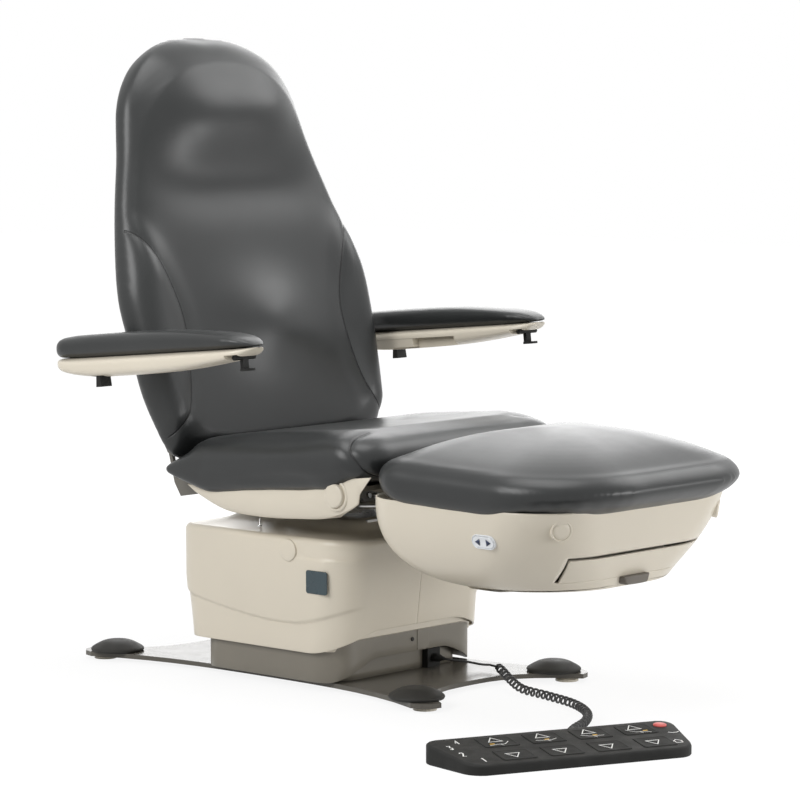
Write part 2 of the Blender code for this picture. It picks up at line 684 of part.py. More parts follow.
def make_lift():
    column_stage("lift_column_fixed", 0, PLATE_TOP + SEAT_GAP, COLUMN_TOP, base, STEEL)
    column_stage("lift_column_mid", 1, PLATE_TOP + STAGE_RISE, SHROUD_TOP, lift_mid, STEEL)
    low_top = PLATE_TOP + GEARBOX_HEIGHT + 2 * SLIDE_CLEARANCE
    top = column_stage("lift_column_top", 2, low_top, COVER_ROOF + JOIN, lift_top, STEEL)

    middle_radius = SPINDLE_RADIUS + SLIDE_CLEARANCE + SPINDLE_WALL
    body_radius = middle_radius + SLIDE_CLEARANCE + SPINDLE_WALL
    half_x, half_y = (size - COLUMN_WALL - SPINDLE_WALL for size in telescope(2))
    gearbox_top = PLATE_TOP + GEARBOX_HEIGHT
    body = link(block("lift_actuator_body", (-half_x, -half_y, PLATE_TOP + SEAT_GAP),
                      (half_x, half_y, gearbox_top)), base, FRAME_PAINT)
    weld(body, base, cylinder("actuator_tube", body_radius, (0, 0, gearbox_top - JOIN), (0, 0, COLUMN_TOP)))
    cut(body, base, cylinder("actuator_bore", middle_radius + SLIDE_CLEARANCE,
                             (0, 0, PLATE_TOP + SPINDLE_WALL), (0, 0, COLUMN_TOP + SHEET)))
    spindle_low = PLATE_TOP + 2 * SPINDLE_WALL
    mid = link(cylinder("lift_spindle_mid", middle_radius, (0, 0, spindle_low),
                        (0, 0, SHROUD_TOP)), lift_mid, STEEL)
    cut(mid, lift_mid, cylinder("spindle_bore", SPINDLE_RADIUS + SLIDE_CLEARANCE,
                                (0, 0, spindle_low + SPINDLE_WALL), (0, 0, SHROUD_TOP + SHEET)))
    link(cylinder("lift_spindle_top", SPINDLE_RADIUS, (0, 0, spindle_low + 2 * SPINDLE_WALL),
                  (0, 0, COVER_ROOF - SEAT_GAP)), lift_top, STEEL)

    grow = SHROUD_SPACE + SHEET
    half, front, rear = SKIRT_HALF_X + grow, SKIRT_FRONT - grow, SKIRT_REAR + grow
    corner, tail = SKIRT_CORNER + grow, SKIRT_REAR_CORNER + grow
    hole_x, hole_y = (size + SEAT_GAP for size in telescope(1))
    rings = [rounded_ring(half, front, rear, corner, tail, COVER_BOTTOM + SHEET),
             rounded_ring(half, front, rear, corner, tail, SHROUD_TOP - SHEET),
             rounded_ring(half - SHEET, front + SHEET, rear - SHEET, corner - SHEET, tail - SHEET,
                          SHROUD_TOP),
             rounded_ring(hole_x, -hole_y, hole_y, COLUMN_WALL, COLUMN_WALL, SHROUD_TOP)]
    shroud = link(shell(loft("mid_shroud", rings, closed=False), SHEET), lift_mid, BEIGE)
    behind = SKIRT_FRONT + SKIRT_CORNER / 4
    cut(shroud, lift_mid, front_notch("shroud_notch", COVER_FRONT_BOTTOM + 2 * SHEET, behind + 2 * SHEET),
        cylinder("shroud_hole", TILT_BARREL_RADIUS + SHEET, (0, TILT_ROD_Y, SHROUD_TOP - 4 * SHEET),
                 (0, TILT_ROD_Y, SHROUD_TOP + SHEET)))

    half, front, rear, corner, tail = half + grow, front - grow, rear + grow, corner + grow, tail + grow
    lean_f, lean_r = COVER_LEAN_FRONT, COVER_LEAN_REAR
    waist = COVER_BOTTOM + 0.45 * (COVER_SHOULDER - COVER_BOTTOM)
    inset = COVER_ROOF_INSET
    rings = [rounded_ring(half, front, rear, corner, tail, COVER_BOTTOM),
             rounded_ring(half, front - 0.6 * lean_f, rear + 0.75 * lean_r, corner, tail, waist),
             rounded_ring(half, front - lean_f, rear + lean_r, corner, tail, COVER_SHOULDER - 3 * SHEET),
             rounded_ring(half - SHEET, front - lean_f + SHEET, rear + lean_r - SHEET, corner, tail,
                          COVER_SHOULDER),
             rounded_ring(half - inset, front - lean_f + inset, rear + lean_r - inset, corner, tail,
                          COVER_ROOF),
             rounded_ring(COLUMN_HALF_X + 5 * SHEET, TILT_ROD_Y - 2 * TILT_BARREL_RADIUS,
                          COLUMN_HALF_Y + 5 * SHEET, COLUMN_WALL, COLUMN_WALL, COVER_ROOF)]
    for side, sign in SIDES:
        cover = link(shell(loft(f"lift_cover_{side}", rings, closed=False), SHEET), lift_top, BEIGE)
        other_half = block(f"cover_half_{side}", (-3 * SKIRT_HALF_X, 2 * SKIRT_FRONT, 0),
                           (SEAT_GAP / 2, 3 * SKIRT_REAR, 2 * COVER_ROOF))
        if sign < 0:
            other_half.data.transform(Matrix.Rotation(math.pi, 4, "Z"))
        cut(cover, lift_top, front_notch(f"cover_notch_{side}", COVER_FRONT_BOTTOM, behind), other_half)
        ends = [(sign * (half + step), PLUG_Y, PLUG_Z) for step in (-SHEET / 2, SHEET / 2)]
        weld(cover, lift_top, cylinder(f"cover_plug_{side}", PLUG_RADIUS, *ends, 16))

    deck_top = COVER_ROOF + SEAT_GAP + YOKE_THICK
    yoke_half = COLUMN_HALF_X + 8 * SHEET
    yoke = block("yoke_plate", (-yoke_half, TILT_ROD_Y - 3 * TILT_BARREL_RADIUS, COVER_ROOF + SEAT_GAP),
                 (yoke_half, TILT_Y, deck_top))
    lugs = []
    for side, sign in SIDES:
        outline = teardrop((TILT_Y, TILT_Z), LUG_RADIUS, (TILT_Y - 4 * LUG_RADIUS, deck_top - JOIN),
                           (TILT_Y - LUG_THICK, deck_top - JOIN))
        lugs.append(plate(f"yoke_lug_{side}", [outline], LUG_THICK, "X", sign * YOKE_LUG_X))
        lugs.append(cylinder(f"tilt_pin_{side}", PIN_RADIUS, (sign * YOKE_LUG_X, TILT_Y, TILT_Z),
                             (sign * (YOKE_LUG_X + 2 * LUG_THICK), TILT_Y, TILT_Z), 16))
    weld(top, lift_top, yoke, *lugs)
    cut(top, lift_top, cylinder("yoke_rod_hole", TILT_ROD_RADIUS + 2 * PIN_CLEARANCE,
                                (0, TILT_ROD_Y, COVER_ROOF - SHEET), (0, TILT_ROD_Y, deck_top + SHEET)))


def make_tilt():
    barrel = link(cylinder("tilt_actuator_body", TILT_BARREL_RADIUS, (0, TILT_ROD_Y, TILT_BARREL_BOTTOM),
                           (0, TILT_ROD_Y, COVER_ROOF)), lift_top, FRAME_PAINT)
    rod_low = TILT_BARREL_BOTTOM + TILT_BORE_RISE
    cut(barrel, lift_top, cylinder("tilt_bore", TILT_ROD_RADIUS + SLIDE_CLEARANCE, (0, TILT_ROD_Y, rod_low),
                                   (0, TILT_ROD_Y, COVER_ROOF + SHEET)))
    pin_z = tilt_pin_place()[1]
    rise = pin_z - COVER_ROOF
    rod = link(cylinder("tilt_rod", TILT_ROD_RADIUS, (0, 0, rod_low + SHEET - COVER_ROOF),
                        (0, 0, rise + PIN_RADIUS)), tilt_rod_body, STEEL)
    reach = TILT_ROD_RADIUS + 2 * LUG_THICK + SHEET
    weld(rod, tilt_rod_body,
         cylinder("tilt_cross_pin", ROD_PIN_RADIUS, (-reach, 0, rise), (reach, 0, rise), 16))


def tilt_pin_place():
    """Where the tilt rod's pin stands at rest: (y, z) in the seat's frame, and its height above the floor."""
    drop = PAN_BOTTOM - TILT_PIN_DROP
    pitch = math.radians(SEAT_PITCH)
    along = (TILT_ROD_Y - TILT_Y - drop * math.sin(pitch)) / math.cos(pitch)
    height = TILT_Z - along * math.sin(pitch) + drop * math.cos(pitch)
    return (along, drop), height


def slotted(name, eye, along, half_length, half_width, thick, middle):
    """Cutter for a slot with round ends, in a sheet square to X."""
    turn = math.degrees(math.atan2(along[1], along[0]))
    eye, along = np.array(eye), np.array(along) / np.linalg.norm(along)
    outline = arc(eye + along * (half_length - half_width), half_width, turn - 90, turn + 90)
    outline += arc(eye - along * (half_length - half_width), half_width, turn + 90, turn + 270)
    return plate(name, [outline], thick, "X", middle)


def make_seat():
    pan_top = PAN_BOTTOM + PAN_THICK
    frame = link(block("seat_frame", (-PAN_HALF_X, PAN_FRONT, PAN_BOTTOM), (PAN_HALF_X, PAN_REAR, pan_top)),
                 seat, FRAME_PAINT)
    back_eye = within(back, seat, (0, 0, 0))
    leg_eye = within(leg, seat, (0, 0, 0))
    under = PAN_BOTTOM + JOIN
    for side, sign in SIDES:
        outline = teardrop((0, 0), LUG_RADIUS, (-4 * LUG_RADIUS, under), (PAN_REAR - JOIN, under))
        tilt_x = sign * (YOKE_LUG_X + LUG_THICK + SEAT_GAP)
        tilt_lug = plate(f"tilt_lug_{side}", [outline, circle((0, 0), PIN_RADIUS + PIN_CLEARANCE, 16)],
                         LUG_THICK, "X", tilt_x)
        outline = teardrop(back_eye, LUG_RADIUS, (PAN_REAR - 4 * LUG_RADIUS, PAN_BOTTOM - 3 * JOIN),
                           (PAN_REAR - JOIN, pan_top - JOIN))
        outer = BACK_LUG_X + LUG_THICK + SEAT_GAP
        back_lug = plate(f"back_lug_{side}", [outline], LUG_THICK, "X", sign * outer)
        back_pin = cylinder(f"back_pin_{side}", PIN_RADIUS, (sign * outer, *back_eye),
                            (sign * (BACK_LUG_X - LUG_THICK), *back_eye), 16)
        outline = teardrop(leg_eye, LUG_RADIUS, (PAN_FRONT + JOIN, pan_top - JOIN),
                           (PAN_FRONT + 4 * LUG_RADIUS, PAN_BOTTOM - 3 * JOIN))
        outer = LEG_LUG_X + LUG_THICK + SEAT_GAP
        leg_lug = plate(f"leg_lug_{side}", [outline], LUG_THICK, "X", sign * outer)
        leg_pin = cylinder(f"leg_pin_{side}", PIN_RADIUS, (sign * outer, *leg_eye),
                           (sign * (LEG_LUG_X - LUG_THICK), *leg_eye), 16)
        weld(frame, seat, tilt_lug, back_lug, back_pin, leg_lug, leg_pin)

    (pin_y, pin_z), _ = tilt_pin_place()
    for side, sign in SIDES:
        x = sign * (TILT_ROD_RADIUS + LUG_THICK)
        low = pin_z - ROD_PIN_RADIUS - LINK_CLEARANCE - LUG_THICK
        weld(frame, seat, block(f"rod_bracket_{side}", (x - LUG_THICK / 2, pin_y - 2 * TILT_SLOT_HALF, low),
                                (x + LUG_THICK / 2, pin_y + 2 * TILT_SLOT_HALF, under)))
        cut(frame, seat, slotted(f"rod_slot_{side}", (pin_y, pin_z), (1, 0), TILT_SLOT_HALF,
                                 ROD_PIN_RADIUS + LINK_CLEARANCE, 2 * LUG_THICK, x))

    barrels = (("back_actuator_body", 1, BACK_BARREL_REAR, BACK_BARREL_LENGTH, BACK_ROD_Z),
               ("leg_actuator_body", -1, LEG_BARREL_REAR, LEG_BARREL_LENGTH, LEG_ROD_Z))
    for name, sign, rear, length, z in barrels:
        x, front = sign * ROD_X, rear - length
        wide = BARREL_RADIUS + 2 * SHEET
        for place, y in (("rear", rear - 4 * LUG_THICK), ("front", front + 2 * LUG_THICK)):
            weld(frame, seat, block(f"{name}_saddle_{place}", (x - wide, y, z),
                                    (x + wide, y + 2 * LUG_THICK, under)))
        cut(frame, seat, cylinder(f"{name}_seat", BARREL_RADIUS + SEAT_GAP, (x, front - LUG_THICK, z),
                                  (x, rear + LUG_THICK, z)))
        barrel = link(cylinder(name, BARREL_RADIUS, (x, front, z), (x, rear, z)), seat, FRAME_PAINT)
        mouth = (rear + SHEET, front + 2 * LUG_THICK) if sign > 0 else (front - SHEET, rear - 2 * LUG_THICK)
        cut(barrel, seat, cylinder(f"{name}_bore", ROD_RADIUS + SLIDE_CLEARANCE,
                                   (x, mouth[0], z), (x, mouth[1], z)))

    rear_top = within(back, seat, (0, BACK_FRONT, BACK_LOW + BACK_PANEL_INSET))[0] - SEAT_BACK_GAP
    low = pan_top + SEAT_GAP
    levels = ((0.00, -0.100, 0.0), (0.00, -0.030, 0.0), (0.04, -0.012, 0.0), (0.42, 0.000, 1.4),
              (0.78, -0.004, 0.9), (0.97, -0.030, 1.0), (1.00, -0.110, 1.0))
    rings = []
    for share, inset, overhang in levels:
        rear = SEAT_REAR + overhang * (rear_top - SEAT_REAR) + min(inset, -0.004) / 2
        ring = rounded_ring(SEAT_HALF_X + inset, SEAT_FRONT - inset, rear, SEAT_CORNER, SEAT_CORNER / 3, 0, 4)
        floor = low + SEAT_NOSE_RISE * ease(-ring[:, 1], 0.40, 0.47)
        crest = SEAT_TOP - SEAT_FALL * ease(-ring[:, 1], SEAT_FALL_START, -SEAT_FRONT)
        ring[:, 2] = floor + (crest - floor) * share
        rings.append(ring)
    link(soften(loft("seat_cushion", rings)), seat, VINYL)

    for side, sign in SIDES:
        rows = []
        for y in np.linspace(SIDE_COVER_FRONT, SIDE_COVER_REAR, 9):
            nose = float(ease(-y, 0.36, 0.50))
            tail = float(ease(y, -0.16, SIDE_COVER_REAR))
            head = pan_top - JOIN + SIDE_COVER_NOSE_RISE * nose
            foot = head - SIDE_COVER_DEPTH - SIDE_COVER_BELLY * (1 - tail) * (1 - nose)
            foot += SIDE_COVER_NOSE_RISE * nose + SIDE_COVER_TAIL_RISE * tail
            outer = PAN_HALF_X + SEAT_GAP + SHEET
            flange = SIDE_COVER_FLANGE * (1 - 0.75 * nose) * (1 - 0.85 * tail)
            section = [(outer, head), (outer + JOIN, 0.5 * (head + foot)),
                       (outer, foot + 0.3 * (head - foot)),
                       (outer - 0.25 * flange, foot + 0.05 * (head - foot)), (outer - flange, foot)]
            rows.append(np.array([(sign * x, y, z) for x, z in section]))
        count = len(rows[0])
        faces = [(r * count + i, r * count + i + 1, (r + 1) * count + i + 1, (r + 1) * count + i)
                 for r in range(len(rows) - 1) for i in range(count - 1)]
        if sign < 0:
            faces = [face[::-1] for face in faces]
        cover = mesh_object(f"seat_side_cover_{side}", np.concatenate(rows), faces, closed=False)
        link(shell(cover, SHEET), seat, BEIGE)
        cap = (leg_eye[0] + SIDE_CAP_BEHIND, PAN_BOTTOM - SIDE_CAP_BELOW)
        outer = PAN_HALF_X + SEAT_GAP + SHEET
        weld(cover, seat, cylinder(f"side_cap_{side}", SIDE_CAP_RADIUS, (sign * (outer - JOIN), *cap),
                                   (sign * (outer + SHEET), *cap), 16))


def make_back():
    seat_eye = within(back, seat, (0, 0, 0))
    height = seat_eye[1] - BACK_ROD_Z
    pin = seat_eye + np.array((height * math.tan(math.radians(BACK_RANGE) / 2), -height))
    x = ROD_X
    rod_low = BACK_BARREL_REAR - BACK_BARREL_LENGTH + 4 * LUG_THICK
    rod_body = joint_empty("back_rod_slide", floor_place(seat) @ Vector((x, pin[0], BACK_ROD_Z)),
                           pitch=-SEAT_PITCH, parent=seat)
    rod = link(cylinder("back_rod", ROD_RADIUS, (0, rod_low - pin[0] + LUG_THICK * 8, 0), (0, ROD_RADIUS, 0)),
               rod_body, STEEL)
    weld(rod, rod_body, cylinder("back_rod_pin", ROD_PIN_RADIUS, (0, 0, 0),
                                 (BACK_LEVER_X + LUG_THICK - x, 0, 0), 16))

    front = BACK_FRONT + BACK_THICK + SEAT_GAP
    rear = front + BACK_PANEL_THICK
    along = np.linspace(BACK_LOW + BACK_PANEL_INSET, BACK_TOP - BACK_PANEL_INSET, 14)
    half = back_half_width(along) - BACK_PANEL_SIDE
    outline = list(zip(half, along)) + list(zip(-half[::-1], along[::-1]))
    frame = link(plate("back_frame", [outline], BACK_PANEL_THICK, "Y", (front + rear) / 2), back, FRAME_PAINT)
    for side, sign in SIDES:
        lug = hinge_lug(front, rear, BACK_LOW - 3 * SHEET)
        weld(frame, back, plate(f"recline_lug_{side}", [lug], LUG_THICK, "X", sign * BACK_LUG_X))
    lever_end = floor_place(back).inverted() @ floor_place(seat) @ Vector((0, *pin))
    aim = np.array((lever_end.y, lever_end.z))
    reach = np.linalg.norm(aim)
    tip = aim / reach * (reach + ROD_PIN_RADIUS + LINK_CLEARANCE + LUG_THICK / 2)
    weld(frame, back,
         cylinder("recline_tube", LUG_RADIUS - JOIN, (BACK_LEVER_X - JOIN, 0, 0), (BACK_LUG_X - JOIN, 0, 0)),
         plate("recline_lever", [lever_outline(tip)], LUG_THICK - 2 * SEAT_GAP, "X", BACK_LEVER_X))
    pin_depth = LUG_THICK + 2 * PIN_CLEARANCE
    cut(frame, back, *[cylinder(f"recline_bore_{side}", PIN_RADIUS + PIN_CLEARANCE,
                                (sign * (BACK_LUG_X - pin_depth), 0, 0),
                                (sign * (BACK_LUG_X + pin_depth), 0, 0), 16)
                       for side, sign in SIDES])
    short = (seat_eye[1] - BACK_ROD_Z)
    middle = aim / reach * (reach + short) / 2
    half_slot = (reach - short) / 2 + ROD_PIN_RADIUS + LINK_CLEARANCE
    cut(frame, back, slotted("recline_slot", middle, aim, half_slot, ROD_PIN_RADIUS + LINK_CLEARANCE,
                             3 * LUG_THICK, BACK_LEVER_X))

    shaft_y, shaft_z = rear + ARM_SHAFT_OFFSET, ARM_ALONG_BACK
    shaft_end = ARM_X + ARM_SHAFT_REACH
    grip = 1.6 * ARM_SHAFT_RADIUS
    weld(frame, back, cylinder("arm_shaft", ARM_SHAFT_RADIUS, (-shaft_end, shaft_y, shaft_z),
                               (shaft_end, shaft_y, shaft_z)),
         *[block(f"shaft_block_{side}", (sign * BACK_LUG_X - grip, rear - JOIN, shaft_z - grip),
                 (sign * BACK_LUG_X + grip, shaft_y + grip, shaft_z + grip)) for side, sign in SIDES])

    rings = []
    for z in np.concatenate([[BACK_LOW], np.linspace(BACK_LOW + 0.02, BACK_TOP - 0.07, 11),
                             [BACK_TOP - 0.03, BACK_TOP]]):
        rings.append(back_section(z))
    link(soften(loft("back_cushion", rings)), back, VINYL)
    return shaft_y, shaft_z


def hinge_lug(front, rear, neck):
    """Outline of a recline lug: the eye, a bar behind the cushion's foot and a tab up the back panel."""
    outline = arc((0, 0), LUG_RADIUS, 100, 290, 2 * CORNER_STEPS)
    outline += [(front, -LUG_RADIUS / 2), (rear - JOIN, neck / 2),
                (rear - JOIN, BACK_LOW + 3 * BACK_PANEL_INSET),
                (front + JOIN, BACK_LOW + 3 * BACK_PANEL_INSET), (front + JOIN, neck - LUG_RADIUS)]
    return outline


def lever_outline(tip):
    """A bar from the eye to a rounded tip."""
    turn = math.degrees(math.atan2(tip[1], tip[0]))
    width = ROD_PIN_RADIUS + LINK_CLEARANCE + LUG_THICK / 2
    inner = np.array(tip) * (1 - width / np.linalg.norm(tip))
    return arc((0, 0), width, turn + 90, turn + 270) + arc(inner, width, turn - 90, turn + 90)


def back_half_width(z):
    """Half the backrest's width up its length: wide at the arms, tapering to a rounded head."""
    return np.interp(z, *zip(*BACK_HALF_WIDTHS))


def back_section(z):
    """One level of the backrest: a rounded slab, swollen at the loins and head and hollow at the neck."""
    half = back_half_width(z)
    share = (z - BACK_LOW) / (BACK_TOP - BACK_LOW)
    thin = 1.0 - 0.45 * float(ease(share, 0.90, 1.0)) - 0.30 * float(ease(-share, -0.03, 0.0))
    front, rear = BACK_FRONT, BACK_FRONT + BACK_THICK
    middle = (front + rear) / 2
    swell = 0.016 * math.exp(-((share - 0.28) / 0.09) ** 2) + 0.012 * math.exp(-((share - 0.87) / 0.06) ** 2)
    swell -= 0.012 * math.exp(-((share - 0.73) / 0.07) ** 2)
    across = np.array((-1.0, -0.97, -0.80, -0.45, 0.0, 0.45, 0.80, 0.97, 1.0, 0.90, 0.55, 0.0, -0.55, -0.90))
    depth = np.array((0.0, 0.62, 0.90, 0.98, 1.0, 0.98, 0.90, 0.62, 0.0, -0.80, -1.0, -1.0, -1.0, -0.80))
    y = middle - depth * thin * (rear - front) / 2
    y -= np.where(depth > 0.5, swell * (1 - across ** 2), 0.0)
    return np.stack([half * across, y, np.full(len(across), z)], axis=1)


def make_arms(shaft_y, shaft_z):
    place = floor_place(back) @ Vector((0, shaft_y, shaft_z))
    for side, sign in SIDES:
        at = (sign * ARM_X, place.y, place.z)
        bar_body = joint_empty(f"arm_level_{side}", at, pitch=-ARM_PITCH, parent=back)
        arm = joint_empty(f"arm_flip_{side}", at, pitch=-ARM_PITCH, parent=bar_body)
        inner = -sign * ARM_HALF

        hub_in, hub_out = inner * 1.45, inner + sign * ARM_BAR_WIDTH
        bar = link(cylinder(f"arm_bar_{side}", ARM_HUB_RADIUS, (hub_in, 0, 0), (hub_out, 0, 0)),
                   bar_body, BEIGE)
        x = sorted((inner, hub_out))
        weld(bar, bar_body, block(f"arm_finger_{side}", (x[0], -ARM_BAR_LENGTH, ARM_BAR_LOW),
                                   (x[1], -ARM_HUB_RADIUS / 2, ARM_BAR_TOP)))
        hole = ARM_SHAFT_RADIUS + PIN_CLEARANCE
        cut(bar, bar_body, cylinder(f"arm_bar_hole_{side}", hole, (2 * inner, 0, 0), (-inner, 0, 0)))

        rings = []
        for y in np.concatenate([[ARM_REAR, ARM_REAR - 0.008],
                                 np.linspace(ARM_REAR - 0.03, ARM_TIP + 0.06, 6),
                                 [ARM_TIP + 0.025, ARM_TIP]]):
            rings.append(arm_section(y))
        shell_piece = link(loft(f"arm_shell_{side}", rings), arm, BEIGE)
        recess_x = sorted((2 * inner, hub_out + sign * SLIDE_CLEARANCE))
        ceiling = ARM_BAR_TOP + SEAT_GAP
        recess = [(2 * ARM_REAR, -2 * ARM_DEPTH), (2 * ARM_REAR, ceiling),
                  (ARM_RECESS_FRONT + ARM_DEPTH / 2, ceiling), (ARM_RECESS_FRONT, -ARM_DEPTH / 2),
                  (ARM_RECESS_FRONT, -2 * ARM_DEPTH)]
        cut(shell_piece, arm,
            plate(f"arm_recess_{side}", [recess], recess_x[1] - recess_x[0], "X", sum(recess_x) / 2),
            cylinder(f"arm_hub_room_{side}", ARM_HUB_RADIUS + SLIDE_CLEARANCE, (2 * inner, 0, 0),
                     (hub_out + sign * 2 * SLIDE_CLEARANCE, 0, 0)),
            cylinder(f"arm_shaft_hole_{side}", hole, (hub_out, 0, 0),
                     (sign * (ARM_SHAFT_REACH + 2 * PIN_CLEARANCE), 0, 0)))
        tab_room = SLIDE_CLEARANCE + TAB_WIDTH / 2
        tab_top = -ARM_DEPTH / 4
        tab_x = sign * 0.4 * ARM_HALF
        cut(shell_piece, arm,
            block(f"tab_slot_{side}", (tab_x - tab_room, TAB_Y - TAB_DEPTH, -2 * ARM_DEPTH),
                  (tab_x + tab_room, TAB_Y + TAB_DEPTH, tab_top)),
            block(f"paddle_slot_{side}", (-2 * ARM_HALF, PADDLE_Y - PADDLE_ROOM, -2 * ARM_DEPTH),
                  (2 * ARM_HALF, PADDLE_Y + PADDLE_ROOM, PADDLE_Z + PADDLE_BAR_RADIUS + SEAT_GAP)))

        rings = []
        for y in np.concatenate([[ARM_REAR + 0.001, ARM_REAR - 0.012],
                                 np.linspace(ARM_REAR - 0.05, ARM_TIP + 0.08, 5),
                                 [ARM_TIP + 0.02, ARM_TIP - 0.004]]):
            rings.append(pad_section(y))
        link(soften(loft(f"arm_pad_{side}", rings)), arm, VINYL)

        barrel = TAB_DEPTH / 4
        tab_at = floor_place(arm) @ Vector((tab_x, TAB_Y, tab_top - barrel - SEAT_GAP))
        tab_body = joint_empty(f"arm_tab_{side}_hinge", tab_at, pitch=-ARM_PITCH, parent=arm)
        tab = link(cylinder(f"arm_tab_{side}", barrel, (-TAB_WIDTH / 2, 0, 0), (TAB_WIDTH / 2, 0, 0), 12),
                   tab_body, BLACK)
        wedge = [(-barrel, 0), (-0.4 * TAB_DEPTH, -TAB_DROP), (0.4 * TAB_DEPTH, -TAB_DROP), (barrel, 0)]
        weld(tab, tab_body, plate(f"tab_blade_{side}", [wedge], TAB_WIDTH - 2 * JOIN, "X"))

        paddle_at = floor_place(arm) @ Vector((0, PADDLE_Y, PADDLE_Z))
        paddle_body = joint_empty(f"arm_paddle_{side}_hinge", paddle_at, pitch=-ARM_PITCH, parent=arm)
        paddle = link(cylinder(f"arm_paddle_{side}", PADDLE_BAR_RADIUS, (-PADDLE_BAR_HALF, 0, 0),
                               (PADDLE_BAR_HALF, 0, 0), 12), paddle_body, BLACK)
        stem, neck = PADDLE_RADIUS / 2, 0.8 * PADDLE_BAR_RADIUS
        disc_y = -PADDLE_RADIUS / 2
        weld(paddle, paddle_body,
             block(f"paddle_stem_{side}", (-stem, -neck, -PADDLE_DROP), (stem, neck, 0)),
             cylinder(f"paddle_disc_{side}", PADDLE_RADIUS, (0, disc_y, -PADDLE_DROP - PADDLE_DISC / 2),
                      (0, disc_y, -PADDLE_DROP + PADDLE_DISC / 2), 16))


def arm_section(y):
    """One station of an arm's shell: flat under the pad, deepest behind, drawn up to the tip."""
    share = (ARM_REAR - y) / (ARM_REAR - ARM_TIP)
    tail = float(ease(share, -0.01, 0.08))
    nose = float(ease(share, 0.88, 1.0))
    half = ARM_HALF * (0.62 + 0.38 * tail) * (1 - 0.45 * nose)
    depth = ARM_DEPTH * (0.45 + 0.55 * tail) * (1 - 0.45 * share ** 2) * (1 - 0.60 * nose)
    top = ARM_SEAM - SEAT_GAP
    low = top - depth
    section = [(half, top), (half, top - 0.55 * depth), (0.90 * half, top - 0.88 * depth), (0.6 * half, low),
               (-0.6 * half, low), (-0.90 * half, top - 0.88 * depth),
               (-half, top - 0.55 * depth), (-half, top)]
    return np.array([(x, y, z) for x, z in section])


def pad_section(y):
    """One station of an armrest pad: flat below, crowned above, thin at its nose."""
    share = (ARM_REAR - y) / (ARM_REAR - ARM_TIP)
    nose = float(ease(share, 0.72, 1.02))
    tail = float(ease(share, -0.02, 0.07))
    half = ARM_PAD_HALF * (0.66 + 0.34 * tail) * (1 - 0.48 * nose ** 2)
    thick = ARM_PAD_THICK * (0.72 + 0.28 * tail) * (1 - 0.62 * nose)
    low = ARM_SEAM
    section = [(0.86 * half, low), (half, low + 0.10 * thick), (1.02 * half, low + 0.55 * thick),
               (0.78 * half, low + 0.96 * thick), (0, low + 1.06 * thick), (-0.78 * half, low + 0.96 * thick),
               (-1.02 * half, low + 0.55 * thick), (-half, low + 0.10 * thick), (-0.86 * half, low), (0, low)]
    return np.array([(x, y, z) for x, z in section])


def hull_ring(share, wall=0.0, height=None):
    """A level of the leg section's shell, from its keel (0) to its rim (1), drawn in by a wall."""
    depth = 1.0 - share
    half = HULL_HALF - (HULL_HALF - HULL_KEEL_HALF) * bowl(depth, HULL_SIDE_POWER) - wall
    rear = HULL_REAR + (HULL_KEEL_REAR - HULL_REAR) * bowl(depth, HULL_REAR_POWER) - wall
    front = HULL_FRONT + (HULL_KEEL_FRONT - HULL_FRONT) * depth ** HULL_FRONT_POWER + wall
    rear_corner = HULL_KEEL_REAR_CORNER + (HULL_REAR_CORNER - HULL_KEEL_REAR_CORNER) * math.sqrt(share)
    z = HULL_BOTTOM + (HULL_RIM - HULL_BOTTOM) * share + wall if height is None else height
    return rounded_ring(half, front, rear, hull_corner(share) - wall, rear_corner - wall, z, 5)


def hull_corner(share):
    """Radius of the shell's front corners: rounder below the rim, and closing again at the keel."""
    depth = 1.0 - share
    widening = (HULL_LOW_CORNER - HULL_FRONT_CORNER) * depth
    closing = (HULL_LOW_CORNER - HULL_KEEL_FRONT_CORNER) * depth ** HULL_KEEL_TURN
    return HULL_FRONT_CORNER + widening - closing


HULL_LEVELS = np.array((0.0, 0.05, 0.14, 0.30, 0.55, 0.80, 1.0))


def hull(name, wall=0.0):
    rings = [hull_ring(share, wall) for share in HULL_LEVELS]
    if wall > 0:
        rings.append(hull_ring(1.0, wall, HULL_RIM + 5 * wall))
    return to_leg(loft(name, rings))


def drawer_gap(spare):
    """Outline of the drawer's opening, narrower by a spare on every side."""
    return [(-DRAWER_HALF_LOW + spare, DRAWER_LOW + spare), (DRAWER_HALF_LOW - spare, DRAWER_LOW + spare),
            (DRAWER_HALF_TOP - spare, DRAWER_TOP - spare), (-DRAWER_HALF_TOP + spare, DRAWER_TOP - spare)]


